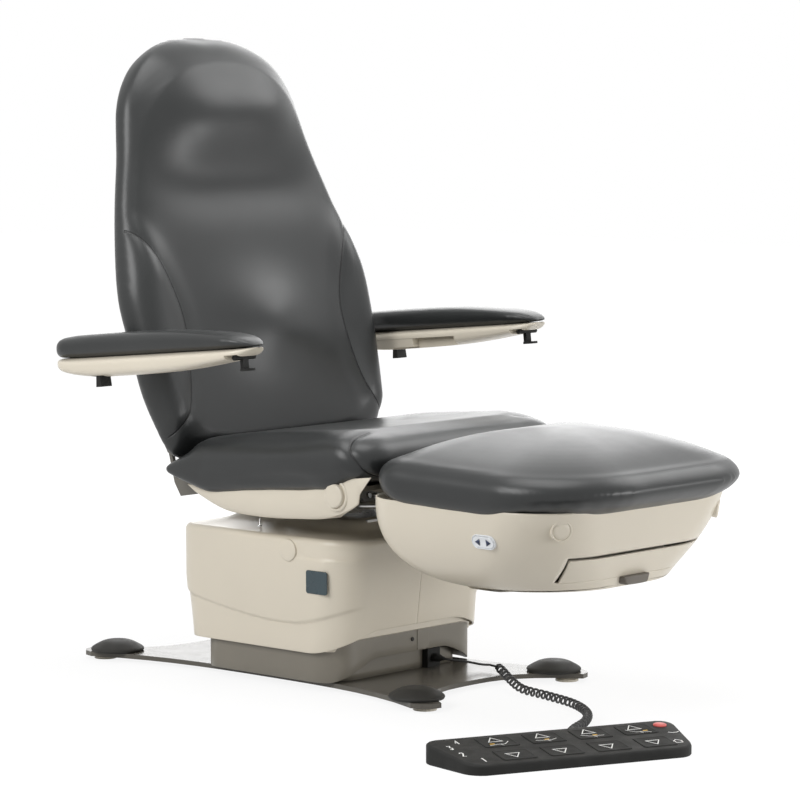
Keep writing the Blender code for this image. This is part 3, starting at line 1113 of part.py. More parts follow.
def make_leg():
    tongue_top = TONGUE_Z + TONGUE_THICK
    carrier = link(to_leg(block("leg_carrier", (-TONGUE_HALF, TONGUE_FRONT, TONGUE_Z),
                                (TONGUE_HALF, LEG_Y - 2 * LUG_RADIUS, tongue_top))), leg, STEEL)
    bar_reach = LEG_LUG_X + LUG_THICK / 2 - JOIN / 2
    weld(carrier, leg, to_leg(block("carrier_bar", (-bar_reach, RUNNER_REAR + 2 * LUG_THICK, TONGUE_Z + JOIN),
                                    (bar_reach, CARRIER_BAR_REAR, tongue_top - JOIN))))
    seat_eye = within(leg, seat, (0, 0, 0))
    height = seat_eye[1] - LEG_ROD_Z
    pin = seat_eye + np.array((-height * math.tan(math.radians(LEG_DROP) / 2), -height))
    for side, sign in SIDES:
        outline = arc((0, 0), LUG_RADIUS, -60, 160, 2 * CORNER_STEPS)
        outline += [(RUNNER_REAR + 2 * LUG_THICK - LEG_Y, tongue_top - LEG_Z),
                    (RUNNER_REAR + 2 * LUG_THICK - LEG_Y, TONGUE_Z - LEG_Z),
                    (-1.5 * LUG_RADIUS, TONGUE_Z - LEG_Z)]
        weld(carrier, leg, plate(f"carrier_lug_{side}", [outline], LUG_THICK, "X", sign * LEG_LUG_X))
    lever_end = within(seat, leg, (0, *pin))
    reach = np.linalg.norm(lever_end)
    tip = lever_end / reach * (reach + ROD_PIN_RADIUS + LINK_CLEARANCE + LUG_THICK / 2)
    weld(carrier, leg, plate("drop_lever", [lever_outline(tip)], LUG_THICK - 2 * SEAT_GAP, "X", -LEG_LUG_X))
    middle = lever_end / reach * (reach + height) / 2
    half_slot = (reach - height) / 2 + ROD_PIN_RADIUS + LINK_CLEARANCE
    cut(carrier, leg, cylinder("carrier_pin_holes", PIN_RADIUS + PIN_CLEARANCE, (-2 * LEG_LUG_X, 0, 0),
                           (2 * LEG_LUG_X, 0, 0), 16),
        slotted("drop_slot", middle, lever_end, half_slot, ROD_PIN_RADIUS + LINK_CLEARANCE, 3 * LUG_THICK,
                -LEG_LUG_X))

    x = -ROD_X
    rod_body = joint_empty("leg_rod_slide", floor_place(seat) @ Vector((x, pin[0], LEG_ROD_Z)),
                           pitch=-SEAT_PITCH, parent=seat)
    rod_rear = LEG_BARREL_REAR - 6 * LUG_THICK - pin[0]
    rod = link(cylinder("leg_rod", ROD_RADIUS, (0, -ROD_RADIUS, 0), (0, rod_rear, 0)), rod_body, STEEL)
    pin_end = -LEG_LUG_X - x - LUG_THICK / 2
    weld(rod, rod_body, cylinder("leg_rod_pin", ROD_PIN_RADIUS, (0, 0, 0), (pin_end, 0, 0), 16))

    trough = link(hull("leg_shell"), leg_slide, BEIGE)
    cut(trough, leg_slide, hull("hull_inside", HULL_WALL),
        to_leg(block("hull_rear_way",
                     (-LEG_LUG_X - 4 * LUG_THICK, RUNNER_REAR + LUG_THICK, DRAWER_TOP + SHEET),
                     (LEG_LUG_X + 4 * LUG_THICK, HULL_REAR + 0.05, 2 * HULL_RIM))),
        to_leg(plate("drawer_way", [drawer_gap(0.0)], 2 * (TRAY_REAR - HULL_FRONT), "Y", HULL_FRONT)))
    deck_low = tongue_top + SEAT_GAP
    deck_half = hull_ring((deck_low - HULL_BOTTOM) / (HULL_RIM - HULL_BOTTOM))[:, 0].max() - HULL_WALL / 2
    web = TONGUE_HALF + SEAT_GAP
    lip_top = TONGUE_Z - SEAT_GAP
    runners = [block("leg_deck", (-deck_half, RUNNER_FRONT, deck_low),
                     (deck_half, RUNNER_REAR, deck_low + RUNNER_WALL))]
    for side, sign in SIDES:
        x = sorted((sign * web, sign * (web + RUNNER_WALL)))
        runners.append(block(f"runner_web_{side}", (x[0], RUNNER_FRONT + JOIN, lip_top - RUNNER_WALL),
                             (x[1], RUNNER_REAR - JOIN, deck_low + JOIN)))
        x = sorted((sign * (web - 3 * RUNNER_WALL), sign * (web + JOIN)))
        lip_low = lip_top - RUNNER_WALL + JOIN / 2
        runners.append(block(f"runner_lip_{side}", (x[0], RUNNER_FRONT + 2 * JOIN, lip_low),
                             (x[1], RUNNER_REAR - 2 * JOIN, lip_top)))
        x = sign * 0.8 * TRAY_HALF
        rail_low, rail_top = HULL_BOTTOM + 1.5 * HULL_WALL, DRAWER_LOW + DRAWER_CLEARANCE - SEAT_GAP
        runners.append(block(f"tray_rail_{side}", (x - RUNNER_WALL, TRAY_FRONT + TRAY_RAIL_INSET, rail_low),
                             (x + RUNNER_WALL, TRAY_REAR - 2 * TRAY_RAIL_INSET, rail_top)))
    weld(trough, leg_slide, *[to_leg(piece) for piece in runners])
    for side, sign in SIDES:
        ring, corner = hull_ring(HULL_CAP_LEVEL), hull_corner(HULL_CAP_LEVEL)
        middle = np.array((sign * (ring[:, 0].max() - corner), ring[:, 1].min() + corner))
        turn = math.radians(HULL_CAP_TURN)
        out = np.array((sign * math.sin(turn), -math.cos(turn)))
        ends = [(*(middle + out * (corner + reach)), ring[0, 2]) for reach in (-HULL_WALL, HULL_CAP_PROUD)]
        weld(trough, leg_slide, to_leg(cylinder(f"hull_cap_{side}", HULL_CAP_RADIUS, *ends, 16)))

    low = HULL_RIM + SEAT_GAP
    plan = rounded_ring(LEG_PAD_HALF, LEG_PAD_FRONT, LEG_PAD_REAR, LEG_PAD_CORNER, LEG_PAD_CORNER / 3, low, 4)
    middle = np.array((0.0, (LEG_PAD_FRONT + LEG_PAD_REAR) / 2, low))
    border = ((0.00, 0.70), (0.00, 0.91), (0.04, 0.97), (0.27, 1.00), (0.44, 0.98), (0.52, 0.90))
    dome = ((0.82, 0.58), (1.00, 0.22))
    rings = [middle + (plan - middle) * (wide, wide, 1.0) + (0.0, 0.0, share * (LEG_PAD_TOP - low))
             for share, wide in border + dome]
    link(soften(to_leg(loft("leg_pad", rings))), leg_slide, VINYL)


def make_drawer():
    tray_low = DRAWER_LOW + DRAWER_CLEARANCE
    drawer = link(to_leg(block("debris_drawer", (-TRAY_HALF, TRAY_FRONT, tray_low),
                               (TRAY_HALF, TRAY_REAR, TRAY_TOP))), drawer_slide, BEIGE)
    inner = TRAY_HALF - TRAY_WALL
    cut(drawer, drawer_slide,
        to_leg(block("tray_inside", (-inner, TRAY_FRONT + TRAY_WALL, tray_low + TRAY_WALL),
                     (inner, TRAY_REAR - TRAY_WALL, TRAY_TOP + TRAY_WALL))))
    face = link(hull("drawer_face"), drawer_slide)
    depth = 2 * (HULL_KEEL_FRONT - HULL_FRONT)
    keep = link(to_leg(plate("drawer_face_outline", [drawer_gap(DRAWER_CLEARANCE)], depth, "Y",
                             TRAY_FRONT + TRAY_WALL - depth / 2)), drawer_slide)
    combine(face, "INTERSECT", [keep])
    combine(drawer, "UNION", [face])
    face_low = hull_ring((tray_low - HULL_BOTTOM) / (HULL_RIM - HULL_BOTTOM))[:, 1].min()
    pull_top = tray_low + PULL_GRIP
    pull = link(to_leg(block("drawer_pull", (-PULL_HALF, face_low - PULL_DEPTH, pull_top - PULL_HEIGHT),
                             (PULL_HALF, face_low + SHEET, pull_top), bevel=PULL_EDGE)),
                drawer_slide, PULL_BROWN)
    cut(pull, drawer_slide, hull("pull_room", -SEAT_GAP))


def make_switch():
    share = (SWITCH_Z - HULL_BOTTOM) / (HULL_RIM - HULL_BOTTOM)
    low, high = (np.ptp(hull_ring(share + step)[:, 0]) / 2 for step in (-0.02, 0.02))
    slope = math.atan2(high - low, 0.04 * (HULL_RIM - HULL_BOTTOM))
    at = Vector((-(low + high) / 2, SWITCH_Y, SWITCH_Z))
    empty = joint_empty("extension_switch_rock", at, parent=leg_slide)
    turn = (0.0, -math.pi / 2 - slope, 0.0)
    place = Matrix.Translation(at - Vector((0, LEG_Y, LEG_Z))) @ Matrix.Rotation(turn[1], 4, "Y")
    half_x, half_y = SWITCH_WIDTH / 2, SWITCH_LENGTH / 2

    def oval(grow):
        reach = half_y + grow - (half_x + grow)
        return arc((0, reach), half_x + grow, 0, 180, 8) + arc((0, -reach), half_x + grow, 180, 360, 8)

    bezel = plate("switch_bezel", [oval(BEZEL_MARGIN)], BEZEL_DEPTH, "Z", BEZEL_PROUD - BEZEL_DEPTH / 2)
    pocket = plate("switch_pocket", [oval(SLIDE_CLEARANCE)], 2 * SWITCH_POCKET, "Z", 0.0)
    for piece in (bezel, pocket):
        piece.data.transform(place)
    trough = bpy.data.objects["leg_shell"]
    weld(trough, leg_slide, bezel)
    cut(trough, leg_slide, pocket)
    rocker_low = SWITCH_RIDGE - SWITCH_POCKET + SEAT_GAP
    rocker = plate("extension_switch", [oval(0.0)], SWITCH_PROUD - rocker_low, "Z",
                   (SWITCH_PROUD + rocker_low) / 2)
    link(rocker, empty, WHITE)
    rocker.rotation_euler = turn
    keel = cylinder("switch_ridge", SWITCH_RIDGE, (-0.7 * half_x, 0, rocker_low),
                    (0.7 * half_x, 0, rocker_low), 12)
    keel.rotation_euler = turn
    weld(rocker, empty, keel)


def make_control():
    control = joint_empty("foot_control", (CONTROL_X, CONTROL_Y, 0), yaw=CONTROL_YAW, parent=base)
    back_y, front_y = CONTROL_DEPTH / 2, -CONTROL_DEPTH / 2
    r = CONTROL_CORNER
    outline = arc((CONTROL_REAR_HALF - r, back_y - r), r, 0, 90)
    outline += arc((r - CONTROL_REAR_HALF, back_y - r), r, 90, 180)
    outline += arc((r - CONTROL_FRONT_HALF, front_y + r), r, 180, 270)
    outline += arc((CONTROL_FRONT_HALF - r, front_y + r), r, 270, 360)
    tall = 2 * CONTROL_REAR_HEIGHT
    housing = link(plate("foot_control_housing", [outline], tall, "Z", tall / 2), control, BLACK)
    slope = math.atan2(CONTROL_REAR_HEIGHT - CONTROL_FRONT_HEIGHT, CONTROL_DEPTH)
    mid_height = (CONTROL_REAR_HEIGHT + CONTROL_FRONT_HEIGHT) / 2
    face = Matrix.Translation((0, 0, mid_height)) @ Matrix.Rotation(slope, 4, "X")
    wide = 2 * CONTROL_REAR_HALF
    above = block("control_slope", (-wide, -CONTROL_DEPTH, 0), (wide, CONTROL_DEPTH, tall))
    above.data.transform(face)
    cut(housing, control, above)
    number = 0
    for row in (0.5, -0.5):
        for column in (-1.5, -0.5, 0.5, 1.5):
            number += 1
            middle = face @ Vector((KEY_SHIFT + column * KEY_PITCH, row * KEY_ROW_PITCH, 0))
            half = np.array((KEY_LENGTH / 2, KEY_WIDTH / 2))
            room = half + SLIDE_CLEARANCE
            floor = KEY_PROUD - KEY_HEIGHT - KEY_TRAVEL - SLIDE_CLEARANCE
            pocket = block(f"key_pocket_{number}", (*-room, floor), (*room, 2 * KEY_HEIGHT))
            pocket.data.transform(Matrix.Translation(middle) @ Matrix.Rotation(slope, 4, "X"))
            cut(housing, control, pocket)
            key_body = joint_empty(f"foot_key_{number}_slide", floor_place(control) @ middle, yaw=CONTROL_YAW,
                                   pitch=math.degrees(slope), parent=control)
            link(block(f"foot_key_{number}", (*-half, KEY_PROUD - KEY_HEIGHT), (*half, KEY_PROUD)),
                 key_body, BLACK)
    return control


def make_cord(control):
    socket_front = SKIRT_FRONT + SHEET + 2 * JOIN
    link(block("control_socket", (SOCKET_X - SOCKET_HALF, socket_front, PLATE_TOP + SEAT_GAP),
               (SOCKET_X + SOCKET_HALF, socket_front + SOCKET_DEPTH, SOCKET_Z + SOCKET_HALF)), base, BLACK)
    plug_rear = socket_front - SEAT_GAP
    plug = [(0, plug_rear), (PLUG_BODY_RADIUS, plug_rear),
            (PLUG_BODY_RADIUS, plug_rear - 0.6 * PLUG_BODY_LENGTH),
            (1.6 * CORD_RADIUS, plug_rear - PLUG_BODY_LENGTH), (0, plug_rear - PLUG_BODY_LENGTH)]
    piece = turned("control_plug", [(radius, along) for radius, along in plug], 16)
    piece.location = (SOCKET_X, 0, SOCKET_Z)
    piece.rotation_euler = (-math.pi / 2, 0, 0)
    link(piece, base, BLACK)

    plug_end = plug_rear - PLUG_BODY_LENGTH - SEAT_GAP
    curl_start = np.array((0.126, -0.352, PLATE_TOP + CURL_RADIUS + 2 * CORD_RADIUS))
    first = np.array((-0.30, -0.95, 0.0))
    first /= np.linalg.norm(first)
    straight = 4 * CORD_RADIUS
    bend = smooth_route([(SOCKET_X, plug_end - straight, SOCKET_Z), (0.100, -0.295, 0.0375),
                         (0.122, -0.325, 0.0315), curl_start - first * straight], 14)
    lead = np.vstack([[(SOCKET_X, plug_end, SOCKET_Z)], bend, [curl_start - first * SEAT_GAP]])
    cord("control_lead", lead, base)

    entry = floor_place(control) @ Vector((CORD_ENTRY_X, CONTROL_DEPTH / 2 + SEAT_GAP, CORD_ENTRY_Z))
    inward = np.array(floor_place(control).to_3x3() @ Vector((0, -1, 0)))
    low = CURL_RADIUS + 1.4 * CORD_RADIUS
    axis = smooth_route([curl_start, curl_start + first * 0.02, (0.100, -0.402, 0.0295),
                         (0.066, -0.455, 0.0200),
                         (0.034, -0.515, low + 0.001), (0.012, -0.601, low), (-0.023, -0.699, low),
                         (-0.083, -0.782, low), (-0.158, -0.838, low), (-0.235, -0.872, low),
                         (-0.300, -0.912, low + 0.002), np.array(entry) - inward * 0.02, entry],
                        CURL_COUNT * CURL_POINTS)
    heading = np.gradient(axis, axis=0)
    heading /= np.linalg.norm(heading, axis=1)[:, None]
    aside = np.stack([-heading[:, 1], heading[:, 0], np.zeros(len(axis))], axis=1)
    aside /= np.linalg.norm(aside, axis=1)[:, None]
    upward = np.cross(aside, heading)
    turn = np.arange(len(axis)) * 2 * math.pi / CURL_POINTS
    ends = np.minimum(np.arange(len(axis)), np.arange(len(axis))[::-1])
    reach = CURL_RADIUS * ease(ends, 0.6 * CURL_POINTS, 2.0 * CURL_POINTS)
    helix = axis + aside * (reach * np.cos(turn))[:, None] + upward * (reach * np.sin(turn))[:, None]
    cord("control_curl", helix, base)
    apart = np.linalg.norm(helix[:, None] - helix[None, :], axis=2)
    steps = np.abs(np.arange(len(axis))[:, None] - np.arange(len(axis))[None, :])
    least = apart[steps > CURL_POINTS // 2].min() - 2 * CORD_RADIUS
    length = np.linalg.norm(np.diff(helix, axis=0), axis=1).sum()
    print(f"curl: {CURL_COUNT} turns, {length:.3f} m of cord, least gap to itself {1000 * least:.2f} mm")


make_base()
make_lift()
make_tilt()
make_seat()
make_arms(*make_back())
make_leg()
make_drawer()
make_switch()
make_cord(make_control())
root.location.z = -FOOT_RISE
bpy.context.view_layer.update()
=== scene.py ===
# %% [markdown]
# This lesson dresses a wide powered procedure chair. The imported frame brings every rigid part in
# its true place, and the cells below add what the eye notes first: the stuffed vinyl cushions, the
# moulded beige covers, the foot control with its curly cord, and the finish of every surface.
# All heights are written above the floor, and one helper lowers them to the frame's origin, which
# lies on the underside of the base plate.

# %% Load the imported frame
import math

import bmesh
import bpy
import numpy as np
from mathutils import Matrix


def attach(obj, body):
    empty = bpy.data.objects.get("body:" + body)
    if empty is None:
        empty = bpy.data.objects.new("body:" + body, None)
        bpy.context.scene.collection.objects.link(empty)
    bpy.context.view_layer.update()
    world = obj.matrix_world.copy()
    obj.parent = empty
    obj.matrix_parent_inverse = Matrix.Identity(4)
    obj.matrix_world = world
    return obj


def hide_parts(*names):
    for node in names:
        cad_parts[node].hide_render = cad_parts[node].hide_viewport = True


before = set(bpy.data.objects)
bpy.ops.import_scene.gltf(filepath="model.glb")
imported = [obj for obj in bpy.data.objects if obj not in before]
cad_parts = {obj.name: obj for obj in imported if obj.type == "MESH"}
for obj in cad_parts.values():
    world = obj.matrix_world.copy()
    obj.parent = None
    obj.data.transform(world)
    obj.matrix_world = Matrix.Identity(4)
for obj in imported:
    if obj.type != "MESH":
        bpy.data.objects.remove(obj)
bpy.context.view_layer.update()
scene = bpy.context.scene
scene.view_settings.view_transform = "Standard"
FOOT_RISE = 0.009

# %% [markdown]
# The camera stands where the photographer's did, about eight metres away behind a long lens. Its
# place follows from the chair's own symmetry: pairs of like points on the left and the right side
# fix the direction, and the level of the four feet fixes the height.

# %% Camera
camera = bpy.data.objects.new("camera", bpy.data.cameras.new("camera"))
camera.data.sensor_width = 36.0
camera.data.lens = 163.27
camera.data.clip_end = 60.0
camera.location = (-5.735, -5.339, 1.365 - FOOT_RISE)
camera.rotation_euler = (math.radians(90 - 5.649), 0.0, math.radians(-48.132))
scene.collection.objects.link(camera)
scene.camera = camera
print("camera:", round(camera.location.length, 2), "m from the chair")

# %% [markdown]
# Studio light for a catalogue picture is broad and soft. One lamp stands on the left, one high on the
# right, which draws the soft band across the head of the backrest, and a weak one low in front. A wide
# one behind the chair is seen only as the pale sheen on the upper faces, and one hangs straight above.
# The world adds an even glow. The floor and the background look white to the camera, yet the floor
# still takes the chair's shadow.

# %% Lamps, world and floor
def lamp(name, place, aim, wide, tall, watts):
    """A rectangular area lamp at a place, turned to face its aim."""
    data = bpy.data.lights.new(name, "AREA")
    data.shape = "RECTANGLE"
    data.size, data.size_y = wide, tall
    data.energy = watts
    light = bpy.data.objects.new(name, data)
    light.location = place
    aimed = np.array(aim, float) - np.array(place, float)
    light.rotation_euler = (math.atan2(math.hypot(aimed[0], aimed[1]), -aimed[2]), 0.0,
                            math.atan2(-aimed[0], aimed[1]))
    light.visible_camera = False
    scene.collection.objects.link(light)


lamp("left_lamp", (-4.0, 0.4, 2.9), (0.0, -0.2, 0.6), 2.4, 2.4, 130)
lamp("right_lamp", (3.2, -1.2, 3.5), (0.0, -0.2, 0.8), 2.2, 2.2, 54)
lamp("front_lamp", (1.6, -4.0, 0.60), (0.0, -0.6, 0.4), 2.8, 1.0, 60)
lamp("rear_lamp", (2.9, 2.1, 2.1), (0.0, -0.5, 0.5), 2.6, 3.2, 58)
lamp("top_lamp", (-0.3, -0.3, 4.3), (0.0, -0.2, 0.4), 2.6, 2.6, 80)


def node(tree, kind, operation=None, **values):
    """A new shader node, with constants set on its own sockets; an underscore in a name is a space."""
    made = tree.nodes.new("ShaderNode" + kind)
    if operation:
        made.operation = operation
    for socket, value in values.items():
        made.inputs[socket.replace("_", " ")].default_value = value
    return made


def shown_or_lit(tree, lit, shown, surface):
    """Camera, glossy and see-through rays meet one shader, and the rays that light the scene the other."""
    path = node(tree, "LightPath")
    seen = path.outputs["Is Camera Ray"]
    for ray in ("Is Glossy Ray", "Is Transmission Ray"):
        either = node(tree, "Math", "MAXIMUM")
        tree.links.new(seen, either.inputs[0])
        tree.links.new(path.outputs[ray], either.inputs[1])
        seen = either.outputs[0]
    choice = node(tree, "MixShader")
    for socket, source in enumerate((seen, lit.outputs[0], shown.outputs[0])):
        tree.links.new(source, choice.inputs[socket])
    tree.links.new(choice.outputs[0], tree.nodes[surface].inputs["Surface"])


WHITE = (1, 1, 1, 1)
WORLD_GLOW = 0.20
world = bpy.data.worlds.new("studio")
scene.world = world
world.use_nodes = True
tree = world.node_tree
glow = tree.nodes["Background"]
glow.inputs["Color"].default_value = WHITE
glow.inputs["Strength"].default_value = WORLD_GLOW
shown_or_lit(tree, glow, node(tree, "Background", Color=WHITE), "World Output")

floor_finish = bpy.data.materials.new("pale_floor")
floor_finish.use_nodes = True
tree = floor_finish.node_tree
matt = tree.nodes["Principled BSDF"]
matt.inputs["Base Color"].default_value = (0.62, 0.62, 0.62, 1)
matt.inputs["Roughness"].default_value = 0.7
far = node(tree, "VectorMath", "LENGTH")
tree.links.new(node(tree, "TexCoord").outputs["Object"], far.inputs[0])
fade = node(tree, "MapRange", From_Min=0.7, From_Max=2.6, To_Min=0.88, To_Max=1.0)
tree.links.new(far.outputs["Value"], fade.inputs["Value"])
bright = node(tree, "Emission")
tree.links.new(fade.outputs["Result"], bright.inputs["Strength"])
both = node(tree, "AddShader")
tree.links.new(node(tree, "BsdfDiffuse", Color=(0.13, 0.13, 0.13, 1)).outputs[0], both.inputs[0])
tree.links.new(bright.outputs[0], both.inputs[1])
shown_or_lit(tree, matt, both, "Material Output")

floor_mesh = bpy.data.meshes.new("studio_floor")
FLOOR_HALF = 14.0
corners = [(x * FLOOR_HALF, y * FLOOR_HALF, -FOOT_RISE) for x, y in ((-1, -1), (1, -1), (1, 1), (-1, 1))]
floor_mesh.from_pydata(corners, [], [(0, 1, 2, 3)])
floor = bpy.data.objects.new("studio_floor", floor_mesh)
scene.collection.objects.link(floor)
floor_mesh.materials.append(floor_finish)
print("studio:", len(bpy.data.lights), "lamps, world at", WORLD_GLOW)

# %% [markdown]
# A finish is more than a colour. Upholstery vinyl has a pebbled grain about a millimetre across
# and a sheen that varies where it has been rubbed; moulded covers have a faint orange peel; the
# painted steel has a fine speckle. Each finish below is one Principled shader, with noise driving
# a small change in colour, roughness and bump, always on Object coordinates so that it stays
# where it is on the piece.

# %% Finishes
def finish(name, colour, roughness, metal=0.0, coat=0.0, shade=0.08, patch=7.0, rough_swing=0.08,
           grain=900.0, depth=0.0004, pebbled=False, specular=0.5, sewn=False):
    """A Principled finish. Colour swings by a share over broad patches, roughness by an amount over
    middling ones, and a fine grain (noise, or Voronoi cells when pebbled) raises a bump. A sewn finish
    also darkens and dips where the mesh's seam attribute, a signed distance, crosses zero."""
    made = bpy.data.materials.new(name)
    made.use_nodes = True
    tree, link = made.node_tree, made.node_tree.links.new
    shader = tree.nodes["Principled BSDF"]
    for socket, value in (("Metallic", metal), ("Coat Weight", coat), ("Coat Roughness", 0.25),
                          ("Specular IOR Level", specular)):
        shader.inputs[socket].default_value = value
    place = node(tree, "TexCoord").outputs["Object"]
    broad = node(tree, "TexNoise", Scale=patch, Detail=4.0)
    link(place, broad.inputs["Vector"])
    ramp = node(tree, "ValToRGB")
    for stop, position, swing in zip(ramp.color_ramp.elements, (0.30, 0.70), (1 - shade, 1 + shade)):
        stop.position = position
        stop.color = (*[min(1.0, c * swing) for c in colour], 1)
    link(broad.outputs["Fac"], ramp.inputs["Fac"])
    link(ramp.outputs["Color"], shader.inputs["Base Color"])
    rub = node(tree, "TexNoise", Scale=patch * 4.3, Detail=3.0)
    link(place, rub.inputs["Vector"])
    level = node(tree, "MapRange", From_Min=0.3, From_Max=0.7, To_Min=roughness - rough_swing,
                 To_Max=roughness + rough_swing)
    link(rub.outputs["Fac"], level.inputs["Value"])
    link(level.outputs["Result"], shader.inputs["Roughness"])
    fine = node(tree, "TexVoronoi" if pebbled else "TexNoise", Scale=grain)
    link(place, fine.inputs["Vector"])
    bump = node(tree, "Bump", Strength=0.35, Distance=depth)
    link(fine.outputs["Distance" if pebbled else "Fac"], bump.inputs["Height"])
    link(bump.outputs["Normal"], shader.inputs["Normal"])
    # A sewn finish paints a near-black line along each seam: the stitching, with painted shade in its groove.
    if sewn:
        sew(tree, shader, ramp, bump)
    return made


def sew(tree, shader, ramp, bump):
    """Stitching colour with painted groove shade, and a dip, along a seam: both fade out between two
    distances from the stored line.
    """
    link = tree.links.new
    stored = node(tree, "Attribute")
    stored.attribute_name = "seam"
    apart = node(tree, "Math", "ABSOLUTE")
    link(stored.outputs["Fac"], apart.inputs[0])
    clear = node(tree, "MapRange", From_Min=0.0003, From_Max=0.0026)
    clear.interpolation_type = "SMOOTHSTEP"
    link(apart.outputs[0], clear.inputs["Value"])
    # The near-black line stands for the stitching and for painted shade in the seam's groove.
    stitch_and_groove_shade = node(tree, "Mix")
    stitch_and_groove_shade.data_type = "RGBA"
    stitch_and_groove_shade.inputs[6].default_value = (0.004, 0.004, 0.004, 1)
    link(clear.outputs["Result"], stitch_and_groove_shade.inputs[0])
    link(ramp.outputs["Color"], stitch_and_groove_shade.inputs[7])
    link(stitch_and_groove_shade.outputs[2], shader.inputs["Base Color"])
    dip = node(tree, "Bump", Strength=0.8, Distance=0.0016)
    link(clear.outputs["Result"], dip.inputs["Height"])
    link(bump.outputs["Normal"], dip.inputs["Normal"])
    link(dip.outputs["Normal"], shader.inputs["Normal"])


charcoal_vinyl = finish("charcoal_vinyl", (0.0215, 0.0230, 0.0230), 0.35, patch=6.0, rough_swing=0.015,
                        grain=620.0, depth=0.00012, pebbled=True, specular=0.42, sewn=True)
beige_moulding = finish("beige_moulding", (0.700, 0.640, 0.530), 0.36, shade=0.02, patch=3.0,
                        rough_swing=0.05, grain=420.0, depth=0.00012, coat=0.10)
taupe_paint = finish("taupe_paint", (0.200, 0.182, 0.148), 0.40, shade=0.06, grain=1100.0, depth=0.0002)
satin_plate = finish("satin_plate", (0.115, 0.106, 0.090), 0.24, shade=0.03, rough_swing=0.02,
                     depth=0.00008, specular=0.32)
cap_rubber = finish("cap_rubber", (0.038, 0.037, 0.034), 0.60, shade=0.12, grain=800.0, specular=0.16)
black_moulding = finish("black_moulding", (0.016, 0.016, 0.015), 0.62, shade=0.15, grain=950.0, depth=0.0003,
                        specular=0.2)
key_rubber = finish("key_rubber", (0.018, 0.018, 0.017), 0.70, shade=0.12, grain=1200.0, depth=0.0003,
                    specular=0.18)
cord_rubber = finish("cord_rubber", (0.020, 0.020, 0.020), 0.45, shade=0.12, grain=600.0, depth=0.0003)
zinc_steel = finish("zinc_steel", (0.52, 0.52, 0.51), 0.34, metal=1.0, shade=0.10, grain=260.0, depth=0.0002)
bright_pin = finish("bright_pin", (0.78, 0.78, 0.77), 0.14, metal=1.0, shade=0.04, grain=300.0, depth=0.0001)
frame_paint = finish("frame_paint", (0.120, 0.112, 0.096), 0.50, shade=0.12, depth=0.0003)
pull_brown = finish("pull_brown", (0.118, 0.101, 0.080), 0.46, grain=700.0, depth=0.0002)
switch_white = finish("switch_white", (0.80, 0.82, 0.84), 0.30, shade=0.02, grain=500.0, depth=0.0001)
switch_navy = finish("switch_navy", (0.010, 0.022, 0.070), 0.40, shade=0.10, grain=500.0, depth=0.0001)
print_white = finish("print_white", (0.80, 0.80, 0.78), 0.5, shade=0.03, grain=800.0, depth=0.00005)
print_yellow = finish("print_yellow", (0.72, 0.42, 0.03), 0.5, shade=0.05, grain=800.0, depth=0.00005)
stop_red = finish("stop_red", (0.62, 0.085, 0.075), 0.42, shade=0.06, grain=600.0, depth=0.0001)
badge_slate = finish("badge_slate", (0.012, 0.035, 0.045), 0.30, shade=0.10, grain=500.0, depth=0.0001,
                     coat=0.3)
print("finishes:", len(bpy.data.materials))

# %% [markdown]
# Most pieces are a grid of points: one parameter runs along the piece, the other round it. These
# helpers turn such an array into a mesh, hand it to the body it moves with and name the frame's
# nodes that it stands for.

# %% Mesh helpers
def grid_faces(rows, columns, wrap=False):
    """Quads of a grid. Point (i, j) has the number i * columns + j; a quad joins it to the next
    column and the next row, and the last column to the first when the grid wraps."""
    i, j = np.meshgrid(np.arange(rows - 1), np.arange(columns if wrap else columns - 1), indexing="ij")
    k = (j + 1) % columns
    quads = [i * columns + j, i * columns + k, (i + 1) * columns + k, (i + 1) * columns + j]
    return np.stack(quads, axis=-1).reshape(-1, 4)


def new_piece(name, points, faces):
    """A mesh object at the origin from points above the floor and faces: doubles merged, faces outwards."""
    mesh = bpy.data.meshes.new(name)
    placed = np.asarray(points, float).reshape(-1, 3) - (0.0, 0.0, FOOT_RISE)
    mesh.from_pydata(placed.tolist(), [], [list(map(int, face)) for face in faces])
    shape = bmesh.new()
    shape.from_mesh(mesh)
    bmesh.ops.remove_doubles(shape, verts=shape.verts, dist=1e-6)
    bmesh.ops.dissolve_degenerate(shape, edges=shape.edges, dist=1e-7)
    bmesh.ops.recalc_face_normals(shape, faces=shape.faces)
    shape.to_mesh(mesh)
    shape.free()
    mesh.shade_smooth()
    obj = bpy.data.objects.new(name, mesh)
    scene.collection.objects.link(obj)
    return obj


def grid_piece(name, grid, wrap=False):
    """A piece from a (rows, columns, 3) array of points."""
    return new_piece(name, grid, grid_faces(*grid.shape[:2], wrap))


def dress(obj, body, material, *nodes, slot=None, wall=0.0, edge=0.0, sharp=40.0):
    """Gives a piece its finish, wall and rounded edges, its body, and the nodes it stands for."""
    obj.data.materials.clear()
    obj.data.materials.append(material)
    obj.data.set_sharp_from_angle(angle=math.radians(sharp))
    if wall:
        skin = obj.modifiers.new("wall", "SOLIDIFY")
        skin.thickness = wall
        skin.offset = -1.0
    if edge:
        rim = obj.modifiers.new("edge", "BEVEL")
        rim.width = edge
        rim.segments = 2
        rim.limit_method = "ANGLE"
        rim.angle_limit = math.radians(50)
    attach(obj, body)
    if nodes:
        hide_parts(*nodes)


def applied(obj):
    """Works an object's modifiers into its mesh."""
    graph = bpy.context.evaluated_depsgraph_get()
    mesh = bpy.data.meshes.new_from_object(obj.evaluated_get(graph))
    old = obj.data
    obj.modifiers.clear()
    obj.data = mesh
    bpy.data.meshes.remove(old)


def carve(obj, *cutters):
    """Takes closed shapes out of a closed piece and forgets them."""
    for cutter in cutters:
        step = obj.modifiers.new("carve", "BOOLEAN")
        step.operation = "DIFFERENCE"
        step.object = cutter
    applied(obj)
    for cutter in cutters:
        bpy.data.objects.remove(cutter, do_unlink=True)


print("helpers ready")

